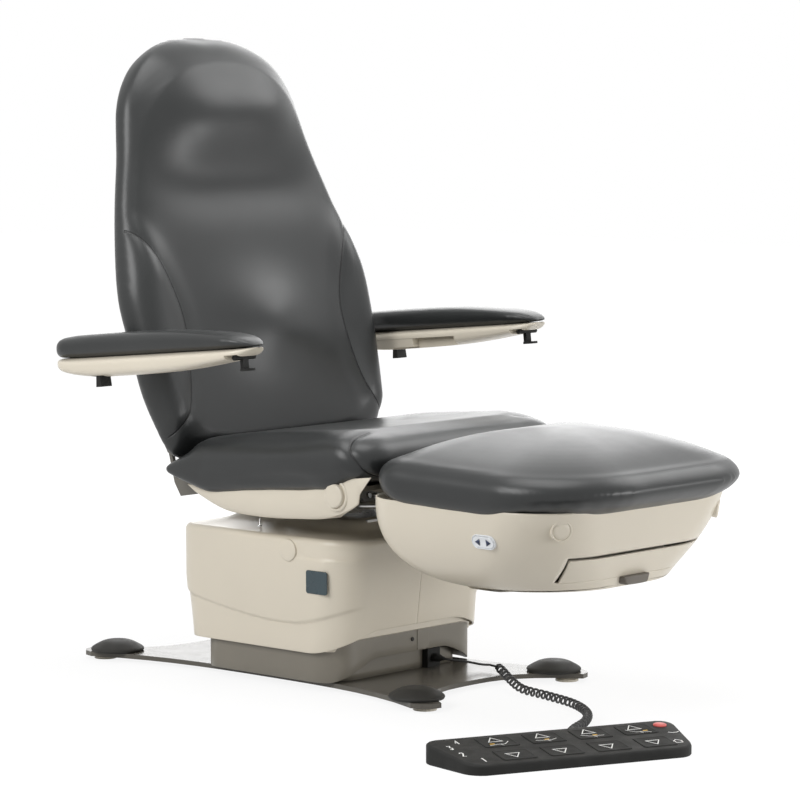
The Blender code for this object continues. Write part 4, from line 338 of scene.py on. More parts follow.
# %% [markdown]
# Curves come next. Outlines are drawn through a few chosen points with a Catmull-Rom curve, which
# passes through every point and turns smoothly, and are then read at even steps. A rounded
# rectangle, halved at the chair's middle, is the plan of nearly every moulded cover.

# %% Curve helpers
def walk(path):
    """Distance walked along a polyline at each of its points."""
    return np.concatenate([[0], np.cumsum(np.linalg.norm(np.diff(path, axis=0), axis=1))])


def even_steps(path, count):
    """A polyline read at evenly spaced shares of its length."""
    path = np.asarray(path, float)
    walked = walk(path)
    wanted = np.linspace(0, walked[-1], count)
    return np.stack([np.interp(wanted, walked, path[:, k]) for k in range(path.shape[1])], axis=1)


def through(stations, count):
    """A Catmull-Rom curve through points: each piece is a cubic whose end slopes are half the step
    between the neighbours on either side."""
    given = np.array(stations, float)
    padded = np.vstack([2 * given[0] - given[1], given, 2 * given[-1] - given[-2]])
    a, b, c, d = (padded[k:k + len(given) - 1, None] for k in range(4))
    t = np.linspace(0, 1, 40, endpoint=False)[None, :, None]
    bends = 0.5 * (2 * b + (c - a) * t + (2 * a - 5 * b + 4 * c - d) * t ** 2
                   + (3 * b - a - 3 * c + d) * t ** 3)
    return even_steps(np.vstack([bends.reshape(-1, given.shape[1]), given[-1:]]), count)


def half_ring(half, front, rear, front_corner, rear_corner, count):
    """Half a rounded rectangle: from the middle of the front, round the right side, to the middle of the
    rear."""
    a = np.radians(np.linspace(0, 90, 30))
    ahead = np.stack([front_corner - half - front_corner * np.sin(a),
                      front + front_corner - front_corner * np.cos(a)], axis=1)
    behind = np.stack([rear_corner - half - rear_corner * np.cos(a),
                       rear - rear_corner + rear_corner * np.sin(a)], axis=1)
    return even_steps(np.vstack([[(0.0, front)], ahead, behind, [(0.0, rear)]]), count)


def whole_ring(half, front, rear, front_corner, rear_corner, count):
    """The same outline all the way round, with the left side mirrored from the right."""
    side = half_ring(half, front, rear, front_corner, rear_corner, count)
    return np.vstack([side, side[-2:0:-1] * (-1, 1)])


def at_height(outline, height):
    """Plan points lifted to a height, which may differ from point to point."""
    return np.column_stack([outline, np.broadcast_to(height, len(outline))])


def ease(value, start, end):
    """A smooth step, 3s^2 - 2s^3, from 0 at the start to 1 at the end."""
    share = np.clip((np.asarray(value, float) - start) / (end - start), 0.0, 1.0)
    return share * share * (3.0 - 2.0 * share)


def bowl(share, power):
    """How far a superellipse has drawn in: 1 - (1 - s^p)^(1/p)."""
    return 1.0 - (1.0 - np.asarray(share, float) ** power) ** (1.0 / power)


def pitched(local, pivot, degrees):
    """Points of a part that leans back by an angle about a left-right axis at (y, z), above the floor."""
    lean = math.radians(degrees)
    local = np.asarray(local, float)
    y = pivot[0] + local[..., 1] * math.cos(lean) + local[..., 2] * math.sin(lean)
    z = pivot[1] - local[..., 1] * math.sin(lean) + local[..., 2] * math.cos(lean)
    return np.stack([local[..., 0], y, z], axis=-1)


def unpitched(points, pivot, degrees):
    """The way back: a mesh's points in the own frame of the part that leans."""
    lean = math.radians(degrees)
    y = points[:, 1] - pivot[0]
    z = points[:, 2] + FOOT_RISE - pivot[1]
    return np.column_stack([points[:, 0], y * math.cos(lean) - z * math.sin(lean),
                            y * math.sin(lean) + z * math.cos(lean)])


SIDES = (("right", -1), ("left", 1))
SEAT_AXIS, SEAT_LEAN = (0.100, 0.385), 5.0
BACK_AXIS, BACK_LEAN = (0.135, 0.415), 15.5
ARM_AXIS, ARM_LEAN = (0.325, 0.675), 5.6
print("curves ready")

# %% [markdown]
# The cord leaves a plug under the front of the skirt as a short plain lead and then runs as tight
# curls, over the edge of the base plate and along the floor, into the rear of the foot control.
# A curl is a helix: a point turns round the route in the plane square to it. Both ends run on the
# route itself, so the cord enters the plug and the housing straight.

# %% Curly cord
CORD_RADIUS, CURL_RADIUS, CURLS, CURL_POINTS = 0.0025, 0.0076, 44, 16
CONTROL_PLACE, CONTROL_TURN = np.array((-0.435, -1.015, 0.0)), math.radians(-23.5)


def control_floor(local):
    """Points of the foot control, turned on the floor and set at its place."""
    local = np.asarray(local, float)
    c, s = math.cos(CONTROL_TURN), math.sin(CONTROL_TURN)
    x = c * local[..., 0] - s * local[..., 1]
    y = s * local[..., 0] + c * local[..., 1]
    return np.stack([x, y, local[..., 2]], axis=-1) + CONTROL_PLACE


plug_end = np.array((0.085, -0.2493, 0.040))
curl_start = np.array((0.126, -0.352, 0.0316))
onward = np.array((-0.30, -0.95, 0.0)) / math.hypot(0.30, 0.95)
straight = 4 * CORD_RADIUS
lead = through([plug_end + (0, -straight, 0), (0.100, -0.295, 0.0375), (0.122, -0.325, 0.0315),
                curl_start - onward * straight], 40)
entry = control_floor((0.065, 0.0853, 0.018))
inward = control_floor((0.065, -0.0147, 0.018)) - entry
inward /= np.linalg.norm(inward)
low = CURL_RADIUS + 1.4 * CORD_RADIUS
route = through([curl_start, curl_start + onward * 0.02, (0.100, -0.402, 0.0295), (0.066, -0.455, 0.0200),
                 (0.034, -0.515, low + 0.001), (0.012, -0.601, low), (-0.023, -0.699, low),
                 (-0.083, -0.782, low), (-0.158, -0.838, low), (-0.235, -0.872, low),
                 (-0.300, -0.912, low + 0.002), entry - inward * 0.02, entry], CURLS * CURL_POINTS)
heading = np.gradient(route, axis=0)
heading /= np.linalg.norm(heading, axis=1)[:, None]
aside = np.stack([-heading[:, 1], heading[:, 0], np.zeros(len(route))], axis=1)
aside /= np.linalg.norm(aside, axis=1)[:, None]
upward = np.cross(aside, heading)
turn = np.arange(len(route)) * 2 * math.pi / CURL_POINTS
from_end = np.minimum(np.arange(len(route)), np.arange(len(route))[::-1])
reach = CURL_RADIUS * ease(from_end, 0.6 * CURL_POINTS, 2.0 * CURL_POINTS)
curls = route + aside * (reach * np.cos(turn))[:, None] + upward * (reach * np.sin(turn))[:, None]
cord_path = np.vstack([plug_end, lead, curls]) - (0.0, 0.0, FOOT_RISE)

curve = bpy.data.curves.new("control_cord", "CURVE")
curve.dimensions = "3D"
curve.bevel_depth = CORD_RADIUS
curve.bevel_resolution = 3
curve.use_fill_caps = True
spline = curve.splines.new("POLY")
spline.points.add(len(cord_path) - 1)
spline.points.foreach_set("co", np.column_stack([cord_path, np.ones(len(cord_path))]).ravel())
curve.materials.append(cord_rubber)
control_cord = bpy.data.objects.new("control_cord", curve)
scene.collection.objects.link(control_cord)
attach(control_cord, "base")
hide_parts("control_lead", "control_curl")

# %% [markdown]
# The plug is a turned rubber sleeve that narrows to the cord. Its ribs are a cosine added to the
# taper, which gives the cord its bend relief.

# %% Cord plug
def turned(name, radius, along, start, axis, steps=48):
    """A surface of revolution: a radius at each distance along an axis from a start, both ends closed."""
    axis = np.array(axis, float) / np.linalg.norm(axis)
    side = np.cross(axis, (0.0, 0.0, 1.0) if abs(axis[2]) < 0.9 else (1.0, 0.0, 0.0))
    side /= np.linalg.norm(side)
    other = np.cross(axis, side)
    angle = np.linspace(0, 2 * np.pi, steps, endpoint=False)
    radius = np.concatenate([[0.0], np.asarray(radius, float), [0.0]])
    along = np.concatenate([[along[0]], np.asarray(along, float), [along[-1]]])
    spin = np.cos(angle)[:, None] * side + np.sin(angle)[:, None] * other
    grid = np.array(start, float) + along[:, None, None] * axis + radius[:, None, None] * spin[None]
    return grid_piece(name, grid, wrap=True)


PLUG_LONG, RIB_STEP, RIB_HIGH = 0.028, 0.0035, 0.0004
along = np.linspace(0, PLUG_LONG, 60)
ribs = RIB_HIGH * np.cos(along * 2 * np.pi / RIB_STEP) * (along > 0.012)
sleeve = 0.009 - 0.005 * ease(along, 0.010, PLUG_LONG) + ribs
cord_plug = turned("cord_plug", sleeve, along, (0.085, -0.2213, 0.040), (0, -1, 0))
dress(cord_plug, "base", black_moulding, "control_plug", slot="black")
print("plug:", len(along), "rings")

# %% [markdown]
# The cushions are foam under vinyl. Each starts as a plain closed form a little smaller than the
# real one, is remeshed into even small faces, and is blown up gently by a cloth simulation, so
# that the sides belly out and the edges roll as stretched cover does. How far a point may move is
# capped, which keeps the form. Seams, pleats and hollows are pressed in afterwards, because the
# remesh would wipe them away.

# %% Stuffing
VOXEL, PRESSURE, FRAMES, EVEN_ROUNDS = 0.006, 3.0, 20, 60


def remeshed(obj, voxel):
    """Even quads over the same form, then a light smoothing in a few rounds."""
    step = obj.modifiers.new("even", "REMESH")
    step.mode = "VOXEL"
    step.voxel_size = voxel
    soft = obj.modifiers.new("soft", "SMOOTH")
    soft.factor = 0.5
    soft.iterations = 6
    applied(obj)


def points_of(obj, what="co"):
    """A mesh's points, or their normals, as an array."""
    flat = np.empty(3 * len(obj.data.vertices))
    obj.data.vertices.foreach_get(what, flat)
    return flat.reshape(-1, 3)


def set_points(obj, points):
    """Puts an array of points back into the mesh."""
    obj.data.vertices.foreach_set("co", points.ravel())
    obj.data.update()


def evened(obj, moves, rounds):
    """Moves averaged with those of the neighbours: half the point's own and half their mean, in rounds."""
    ends = np.empty(2 * len(obj.data.edges), int)
    obj.data.edges.foreach_get("vertices", ends)
    here = np.concatenate([ends[0::2], ends[1::2]])
    there = np.concatenate([ends[1::2], ends[0::2]])
    count = np.maximum(np.bincount(here, minlength=len(moves)), 1)
    for _ in range(rounds):
        sums = [np.bincount(here, moves[there, k], len(moves)) for k in range(3)]
        moves = 0.5 * moves + 0.5 * np.stack(sums, axis=1) / count[:, None]
    return moves


def stuffed(obj, voxel, cap):
    """Remeshed, then cloth under pressure for twenty frames. The moves are evened out, because this cover
    is drawn tight and shows no wrinkles, and no point goes further than the cap."""
    remeshed(obj, voxel)
    before = points_of(obj)
    cloth = obj.modifiers.new("cloth", "CLOTH")
    cover = cloth.settings
    cover.quality = 2
    cover.mass = 0.3
    cover.tension_stiffness = cover.compression_stiffness = 25.0
    cover.bending_stiffness = 2.0
    cover.use_pressure = True
    cover.uniform_pressure_force = PRESSURE
    cover.effector_weights.gravity = 0.0
    cloth.point_cache.frame_end = FRAMES
    for number in range(1, FRAMES + 1):
        scene.frame_set(number)
    applied(obj)
    scene.frame_set(1)
    moved = evened(obj, points_of(obj) - before, EVEN_ROUNDS)
    length = np.linalg.norm(moved, axis=1, keepdims=True)
    set_points(obj, before + moved * np.minimum(1.0, cap / np.maximum(length, 1e-9)))


def beside(points, line):
    """Signed distance of points (across, height) from a line that falls from its start to its end: to
    the nearest of its segments, less than zero where the line at that height lies further across."""
    best = np.full(len(points), np.inf)
    for a, d in zip(line[:-1], np.diff(line, axis=0)):
        t = np.clip(((points - a) @ d) / (d @ d), 0.0, 1.0)
        best = np.minimum(best, np.linalg.norm(points - a - t[:, None] * d, axis=1))
    line_across = np.interp(points[:, 1], line[::-1, 1], line[::-1, 0])
    return best * np.where(points[:, 0] < line_across, -1.0, 1.0)


def mark_seam(obj, distance):
    """Keeps each point's signed distance from the seam on the mesh, where the vinyl reads it."""
    stored = obj.data.attributes.new("seam", "FLOAT", "POINT")
    values = np.broadcast_to(distance, len(obj.data.vertices))
    stored.data.foreach_set("value", values.astype(np.float32))


def finer(obj):
    """One subdivision, worked into the mesh."""
    step = obj.modifiers.new("finer", "SUBSURF")
    step.levels = step.render_levels = 1
    applied(obj)


def press(obj, amount):
    """Moves each point against its normal by an amount."""
    set_points(obj, points_of(obj) - points_of(obj, "normal") * np.asarray(amount)[:, None])
    obj.data.shade_smooth()


def hump(offset, width, power=2):
    """A bell of height 1 at zero offset: exp(-(|offset| / width)^power)."""
    return np.exp(-np.abs(offset / width) ** power)


print("stuffing ready, simulation", "on")

# %% [markdown]
# The backrest narrows from the arms to a rounded head. Across it the section is a superellipse,
# so it is flat in the middle and round at the edges. Its front swells at the loins and under the
# head and is hollow at the neck. A sewn line on each side marks off a wing from the middle panel.

# %% Backrest form
BACK_OUTLINE = through([(0.055, 0.268), (0.085, 0.322), (0.17, 0.352), (0.36, 0.374), (0.46, 0.371),
                        (0.61, 0.336), (0.74, 0.295), (0.85, 0.266), (0.92, 0.221), (0.965, 0.164),
                        (0.994, 0.096), (1.006, 0.010)], 120)


def superellipse(angle, squareness):
    """sign(cos) |cos|^(2/n) and sign(sin) |sin|^(2/n): a circle at n = 2, squarer above."""
    c, s = np.cos(angle), np.sin(angle)
    power = 2.0 / squareness
    return np.sign(c) * np.abs(c) ** power, np.sign(s) * np.abs(s) ** power


height, half_width = BACK_OUTLINE.T
BACK_COLUMNS, BACK_HALF_THICK = 96, 0.050
angle = np.linspace(0, 2 * np.pi, BACK_COLUMNS, endpoint=False)
across, depth = superellipse(angle, np.where(np.sin(angle) > 0, 3.4, 2.5))
ends = np.sqrt(np.clip(1 - ease(height, 0.88, 1.008) ** 2.2, 0.0, 1.0))
ends *= 0.45 + 0.55 * ease(height, 0.052, 0.10)
front_half = BACK_HALF_THICK * ends
middle = 0.026 - 0.006 * ease(height, 0.75, 1.0)
edge_in = (1 - ease(height, 0.06, 0.24))[:, None] * ease(half_width[:, None] * np.abs(across), 0.24, 0.32)
y = middle[:, None] - np.where(depth > 0, 1.0, 0.94 - 0.75 * edge_in) * depth * front_half[:, None]
form = np.stack([half_width[:, None] * across[None], y, np.broadcast_to(height[:, None], y.shape)], axis=-1)
foot, crown = (end.mean(axis=1, keepdims=True).repeat(BACK_COLUMNS, 1) for end in (form[:1], form[-1:]))
form = np.concatenate([foot, form, crown])
back_pad = grid_piece("back_pad", pitched(form, BACK_AXIS, BACK_LEAN), wrap=True)
stuffed(back_pad, VOXEL, 0.006)

# %% Backrest swellings and seams
lean = math.radians(BACK_LEAN)
ahead = np.array((0.0, -math.cos(lean), math.sin(lean)))
facing = np.clip(points_of(back_pad, "normal") @ ahead, 0, 1)
x, y, z = unpitched(points_of(back_pad), BACK_AXIS, BACK_LEAN).T
loins = 0.030 * hump(z - 0.335, 0.100) * hump(x, 0.135)
head = 0.040 * hump(z - 0.815, 0.100) * hump(x, 0.205, 4)
neck = -0.012 * hump(z - 0.655, 0.07) * hump(x, 0.24, 4)
BACK_SEAM = through([(0.400, 0.610), (0.340, 0.568), (0.296, 0.504), (0.258, 0.410), (0.248, 0.340),
                     (0.262, 0.235), (0.284, 0.167), (0.318, 0.125), (0.370, 0.080)], 60)
from_seam = beside(np.column_stack([np.abs(x), z]), BACK_SEAM)
groove = 0.0016 * hump(from_seam, 0.006) - 0.0012 * hump(np.abs(from_seam) - 0.024, 0.018)
press(back_pad, facing * (groove - loins - head - neck))
wings = 0.024 * hump(np.abs(x) - 0.330, 0.060) * ease(z, 0.07, 0.16) * (1 - ease(z, 0.44, 0.62))
forward = wings * ease(0.026 - y, -0.020, 0.030)
set_points(back_pad, points_of(back_pad) + forward[:, None] * ahead)
mark_seam(back_pad, np.where(facing > 0.2, from_seam, np.sign(from_seam)))
dress(back_pad, "back", charcoal_vinyl, "back_cushion", slot="vinyl", sharp=180)
print("backrest:", len(back_pad.data.polygons), "faces")

# %% [markdown]
# The seat cushion is a thick slab with rolled sides that hangs over the hinge at its rear and lifts
# its chin over the leg section. Every level is a rounded rectangle; a few chosen heights give its
# half width, front and rear, and a smooth curve runs through them. The top then closes in towards
# the middle, a little lower than the bolsters at the sides.

# %% Seat form
def piled(levels, front_corner, rear_corner, top, count=60, steps=44):
    """Rings of a cushion. Each chosen level is (height, half width, front, rear); a Catmull-Rom curve
    runs through the levels, and shrinking rings close the underside flat and the top at given heights."""
    side = through(levels, steps)
    under = [(share, side[0], side[0, 0]) for share in (0.0, 0.4, 0.8)]
    wall = [(1.0, level, level[0]) for level in side]
    over = [(share, side[-1], side[-1, 0] + rise) for share, rise in top]
    rings = []
    for share, (_, half, front, rear), z in under + wall + over:
        middle = np.array((0.0, (front + rear) / 2))
        plan = whole_ring(half, front, rear, front_corner, rear_corner, count)
        rings.append(at_height(middle + (plan - middle) * share, z))
    return np.stack(rings)


SEAT_LEVELS = [(0.024, 0.299, -0.480, -0.040), (0.031, 0.318, -0.495, -0.012), (0.048, 0.328, -0.505, 0.020),
               (0.066, 0.332, -0.508, 0.042), (0.082, 0.333, -0.506, 0.047), (0.098, 0.331, -0.500, 0.032),
               (0.112, 0.326, -0.490, 0.014), (0.127, 0.314, -0.470, 0.004), (0.137, 0.294, -0.440, -0.012)]
SEAT_TOP = [(0.93, 0.003), (0.85, 0.002), (0.7, -0.001), (0.5, -0.005), (0.25, -0.007), (0.0, -0.008)]
form = piled(SEAT_LEVELS, 0.085, 0.022, SEAT_TOP)
along = form[..., 1]
ears = hump(form[..., 2] - 0.078, 0.024) * ease(np.abs(form[..., 0]), 0.25, 0.31)
form[..., 1] += 0.044 * ears * ease(along, -0.06, 0.03)
share = np.clip((form[..., 2] - 0.024) / 0.113, 0, 1)
form[..., 2] += 0.020 * ease(-along, 0.37, 0.46) * (1 - share)
form[..., 2] += share * (0.004 - 0.009 * ease(along, -0.16, 0.01) - 0.006 * ease(-along, 0.36, 0.47))
seat_pad = grid_piece("seat_pad", pitched(form, SEAT_AXIS, SEAT_LEAN), wrap=True)
stuffed(seat_pad, VOXEL, 0.004)

# %% Seat seams
x, y, z = unpitched(points_of(seat_pad), SEAT_AXIS, SEAT_LEAN).T
FRONT_SEAM = through([(-0.430, 0.150), (-0.446, 0.124), (-0.460, 0.100), (-0.474, 0.078),
                      (-0.484, 0.045)], 24)
front_line = beside(np.column_stack([y, z]), FRONT_SEAM)
at_side = ease(np.abs(x), 0.20, 0.25)
band = at_side * (0.0022 * hump(front_line, 0.006) - 0.0012 * hump(np.abs(front_line) - 0.02, 0.014))
hollow = 0.004 * ease(np.abs(x), 0.30, 0.33) * hump(z - 0.050, 0.022) * ease(-y, 0.10, 0.25)
press(seat_pad, band + hollow)
mark_seam(seat_pad, np.where(at_side > 0.5, front_line, np.sign(front_line)))
dress(seat_pad, "seat", charcoal_vinyl, "seat_cushion", slot="vinyl", sharp=180)
print("seat:", len(seat_pad.data.polygons), "faces")

# %% [markdown]
# The leg pad is one smooth cushion. Its sides roll out over the rim of the shell, and their lower edge
# hangs lower along the sides than at the ends. The top runs on from the roll as a shallow dome that is
# highest behind its middle. Where the cover is pulled round the front corner it gathers in a few short
# wrinkles.

# %% Leg pad
PAD_BORDER = [(0.436, 0.310, -0.878, -0.438), (0.440, 0.327, -0.902, -0.424), (0.455, 0.340, -0.936, -0.412),
              (0.476, 0.345, -0.955, -0.407), (0.494, 0.340, -0.949, -0.411), (0.508, 0.324, -0.931, -0.422),
              (0.5170, 0.300, -0.905, -0.440)]
border = through(PAD_BORDER, 44)
rings = [at_height(whole_ring(half, front, rear, 0.215 - (0.345 - half), 0.070, 70), z)
         for z, half, front, rear in border]
middle = np.array((0.0, -0.66, 0.0))
under = [middle + (rings[0] - middle) * (share, share, 1.0) for share in (0.0, 0.4, 0.8)]
PAD_EDGE, DOME_HIGH = PAD_BORDER[-1][0], 0.0575
dome = [at_height((middle + (rings[-1] - middle) * share)[:, :2], PAD_EDGE + DOME_HIGH * (1 - share ** 2.2))
        for share in np.linspace(0.985, 0.0, 30)]
form = np.stack(under + rings + dome)
along = np.clip((form[..., 1] + 0.66) / 0.25, -1, 1)
lower = 1 - ease(form[..., 2], 0.440, 0.500)
outer = ease(np.abs(form[..., 0]) / 0.344 + ease(-form[..., 1], 0.80, 0.94), 0.75, 1.0)
form[..., 2] += lower * outer * (0.012 * along ** 2 - 0.010)
form[..., 2] += (1 - lower) * (0.010 * ease(along, -0.7, 1.0) - 0.003)
leg_cushion = grid_piece("leg_cushion", form, wrap=True)
stuffed(leg_cushion, VOXEL, 0.004)
finer(leg_cushion)
x, y, z = points_of(leg_cushion).T
z = z + FOOT_RISE
sweep = np.arctan2(np.abs(x), -(y + 0.70))
press(leg_cushion, 0.0007 * np.sin(sweep * 46.0) * hump(sweep - 0.95, 0.35) * hump(z - 0.452, 0.014))
mark_seam(leg_cushion, 1.0)
dress(leg_cushion, "leg_slide", charcoal_vinyl, "leg_pad", slot="vinyl", sharp=180)
print("leg pad:", len(leg_cushion.data.polygons), "faces")

# %% [markdown]
# An armrest pad is long and slim: blunt and thick at the rear, drawn out thin to the front. Its
# sections are superellipses over a flat underside, and both ends close in a half round.

# %% Armrest pads
def arm_form(rear, tip, half, low, top, squareness, count=72, stations=90):
    """Closed sections along an arm. Half width and height shrink to both ends as sqrt(1 - d^2), with
    d the share of the end's length; top is a curve of heights along the arm."""
    t = 0.5 - 0.5 * np.cos(np.linspace(0, np.pi, stations))
    y = rear + (tip - rear) * t
    back_end = np.clip((y - (rear - 0.045)) / 0.045, 0, 1)
    front_end = np.clip((tip + 0.085 - y) / 0.085, 0, 1)
    plan = half * np.sqrt(1 - back_end ** 2.6) * np.sqrt(1 - 0.99 * front_end ** 2.4)
    lift = np.interp(y, *zip(*sorted(top)))
    lift = np.convolve(np.pad(lift, 6, mode="edge"), np.ones(13) / 13, mode="valid")
    lift *= (1 - 0.70 * back_end ** 5) * (1 - 0.9 * front_end ** 5)
    angle = np.linspace(0, 2 * np.pi, count, endpoint=False)
    c, s = superellipse(angle, squareness)
    x = plan[:, None] * c[None]
    z = low + lift[:, None] * (0.5 + 0.5 * s[None])
    return np.stack([x, np.broadcast_to(y[:, None], x.shape), z], axis=-1)


ARM_X, ARM_REAR, ARM_TIP, PAD_HALF, PAD_LOW = 0.450, 0.035, -0.549, 0.046, 0.0181
PAD_TOP = [(0.034, 0.041), (0.0, 0.044), (-0.12, 0.046), (-0.30, 0.045), (-0.42, 0.036), (-0.50, 0.026),
           (-0.549, 0.014)]
for side, sign in SIDES:
    form = arm_form(ARM_REAR, ARM_TIP, PAD_HALF, PAD_LOW, PAD_TOP, 3.0)
    form[..., 0] += sign * ARM_X
    arm_cushion = grid_piece(f"arm_cushion_{side}", pitched(form, ARM_AXIS, ARM_LEAN), wrap=True)
    stuffed(arm_cushion, 0.005, 0.002)
    mark_seam(arm_cushion, 1.0)
    dress(arm_cushion, f"arm_{side}", charcoal_vinyl, f"arm_pad_{side}", slot="vinyl", sharp=180)
print("arm pads:", len(arm_cushion.data.polygons), "faces each")

# %% [markdown]
# Under each pad is a beige tray, deepest near the pivot and thin at the tip. Its inner side is
# open along the carrying bar, and two black controls show below it: a short tab near the pivot
# and a T-shaped paddle at the tip.

# %% Armrest trays
def box_piece(name, low, high, place=None):
    """A closed box between two corners; place moves its eight corners to floor heights."""
    low, high = np.array(low, float), np.array(high, float)
    pick = np.array(np.meshgrid([0, 1], [0, 1], [0, 1], indexing="ij")).reshape(3, -1).T
    points = low + pick * (high - low)
    faces = [(0, 1, 3, 2), (4, 6, 7, 5), (0, 4, 5, 1), (2, 3, 7, 6), (0, 2, 6, 4), (1, 5, 7, 3)]
    return new_piece(name, points if place is None else place(points), faces)


def on_arm(sign):
    """A function that sets points of an arm's own frame above the floor."""
    return lambda local: pitched(np.asarray(local, float) + (sign * ARM_X, 0, 0), ARM_AXIS, ARM_LEAN)


TRAY_DEPTH = [(0.034, 0.018), (0.010, 0.030), (-0.06, 0.043), (-0.15, 0.044), (-0.28, 0.042), (-0.34, 0.040),
              (-0.44, 0.030), (-0.51, 0.021), (-0.547, 0.010)]
TRAY_TOP, CUT_DEEP, TAB_HALF = 0.0175, -0.09, 0.0177
for side, sign in SIDES:
    form = arm_form(0.034, -0.546, 0.0455, 0.0, TRAY_DEPTH, 3.2)
    form[..., 2] = TRAY_TOP - np.maximum(0.0, form[..., 2])
    tray = grid_piece(f"arm_tray_{side}", on_arm(sign)(form), wrap=True)
    inner = -sign * 0.045
    hub_out = inner + sign * 0.0207
    x0, x1 = sorted((2 * inner, hub_out))
    slot_x = sign * 0.018
    cuts = [((x0, -0.325, CUT_DEEP), (x1, 0.09, -0.0016)),
            ((slot_x - TAB_HALF, -0.119, CUT_DEEP), (slot_x + TAB_HALF, -0.081, -0.0118)),
            ((-0.09, -0.5166, CUT_DEEP), (0.09, -0.4874, 0.0049))]
    carve(tray, *[box_piece("cut", low, high, on_arm(sign)) for low, high in cuts])
    dress(tray, f"arm_{side}", beige_moulding, f"arm_shell_{side}", slot="beige", sharp=32)
print("arm trays:", len(tray.data.polygons), "faces")

# %% [markdown]
# The leg section's shell is a deep bowl: steep at its rear, drawn in below and flared to its rim.
# Each level is a rounded rectangle whose sides draw in as superellipses. The drawer front is cut
# out of the very same surface, so the two run on into each other across the shadow gap.

# %% Leg shell surface
RIM, KEEL = 0.4415, 0.262
GAP_LOW, GAP_TOP = 0.285, 0.343
KEEL_LIFT = 0.006


def hull_level(share, drawn=0.0):
    """Plan of the bowl between its keel (0) and its rim (1), as numbers for a rounded rectangle."""
    depth = 1.0 - share
    front_corner = 0.140 + 0.055 * depth - 0.060 * depth ** 12
    return (0.325 - 0.125 * float(bowl(depth, 2.0)) - drawn, -0.885 + 0.063 * depth ** 1.25 + drawn,
            -0.368 - 0.232 * float(bowl(depth, 2.6)) - drawn, front_corner - drawn,
            0.070 + 0.030 * math.sqrt(share) - drawn)


def drawer_edge(z):
    """Half the width of the drawer's opening at a height: wider at the top."""
    return 0.195 + 0.015 * (z - GAP_LOW) / (GAP_TOP - GAP_LOW)


def hull_rows(heights, spare, ahead, astern):
    """Right half of the bowl at some heights. Columns are shared out so that one of them follows the end
    of the drawer's opening, which lies a spare inside the drawn edge (one number, or one per height)."""
    rows = []
    for z, inside in zip(heights, np.broadcast_to(spare, len(heights))):
        share = np.clip((z - KEEL) / (RIM - KEEL), 0, 1)
        plan = half_ring(*hull_level(share), 600)
        walked = walk(plan)
        ahead_half = plan[:, 1] < plan[:, 1].min() + 0.30
        mark = np.interp(drawer_edge(z) - inside, -plan[ahead_half, 0], walked[ahead_half])
        wanted = np.concatenate([np.linspace(0, mark, ahead), np.linspace(mark, walked[-1], astern)[1:]])
        across, along = (np.interp(wanted, walked, plan[:, k]) for k in (0, 1))
        lift = KEEL_LIFT * (1 - share) ** 2 * ease(-along, 0.62, 0.84)
        rows.append(np.column_stack([across, along, z + lift]))
    return np.stack(rows)


heights = np.concatenate([KEEL + (GAP_LOW - KEEL) * np.linspace(0, 1, 14) ** 1.8,
                          np.linspace(GAP_LOW, GAP_TOP, 14)[1:], np.linspace(GAP_TOP, RIM, 26)[1:]])
GAP_COLUMNS, FLOOR_ROWS = 26, 7
right = hull_rows(heights, -0.0025 - 0.0025 * (1 - ease(heights, GAP_LOW, GAP_TOP)), GAP_COLUMNS, 80)
bottom = right[0]
count = len(bottom)
middle_line = np.column_stack([np.zeros(count), np.clip(bottom[:, 1], -0.72, -0.66), np.full(count, KEEL)])
shares = np.arange(FLOOR_ROWS) / FLOOR_ROWS
right = np.concatenate([[middle_line + (bottom - middle_line) * share for share in shares], right])
row_z = np.concatenate([np.full(FLOOR_ROWS, KEEL), heights])
keep = np.ones((right.shape[0] - 1, right.shape[1] - 1), bool)
middle_z = (row_z[1:] + row_z[:-1]) / 2
keep[(middle_z > GAP_LOW) & (middle_z < GAP_TOP), :GAP_COLUMNS - 1] = False
quad = (right[1:, 1:] + right[:-1, :-1]) / 2
keep &= ~((quad[..., 1] > -0.46) & (np.abs(quad[..., 0]) < 0.205) & (quad[..., 2] > 0.347))
whole = np.concatenate([right, right * (-1, 1, 1)])
faces = grid_faces(*right.shape[:2])[keep.reshape(-1)]
faces = np.concatenate([faces, faces[:, ::-1] + right.shape[0] * right.shape[1]])
leg_hull = new_piece("leg_hull", whole, faces)
dress(leg_hull, "leg_slide", beige_moulding, "leg_shell", slot="beige", wall=0.004, sharp=35)
print("leg shell:", len(leg_hull.data.polygons), "faces")

# %% [markdown]
# The drawer under the leg section is a shallow tray behind a curved front. The front is read from the
# same bowl a little above the gap's lower edge, so that a dark line is left all round it.

# %% Drawer front and tray
front_z = np.linspace(GAP_LOW + 0.0004, GAP_TOP - 0.0075, 18)
panel = hull_rows(front_z, 0.0025, 40, 4)[:, :40]
panel = np.concatenate([panel[:, :0:-1], panel * (-1, 1, 1)], axis=1)
drawer_front = grid_piece("drawer_front", panel)
dress(drawer_front, "drawer", beige_moulding, "debris_drawer", slot="beige", wall=0.006, edge=0.0012,
      sharp=35)
TRAY_HALF, TRAY_FRONT, TRAY_REAR, TRAY_LOW, TRAY_RIM, TRAY_WALL = 0.185, -0.775, -0.500, 0.2926, 0.332, 0.003
tray_rings = []
for drawn, z in ((0.10, TRAY_LOW), (0.0, TRAY_LOW), (0.0, TRAY_RIM), (TRAY_WALL, TRAY_RIM),
                 (TRAY_WALL, TRAY_LOW + TRAY_WALL), (0.10, TRAY_LOW + TRAY_WALL)):
    ring = whole_ring(TRAY_HALF - drawn, TRAY_FRONT + drawn, TRAY_REAR - drawn, 0.012, 0.012, 40)
    tray_rings.append(at_height(ring, z))
tray_middle = np.array((0.0, (TRAY_FRONT + TRAY_REAR) / 2, 0.0))
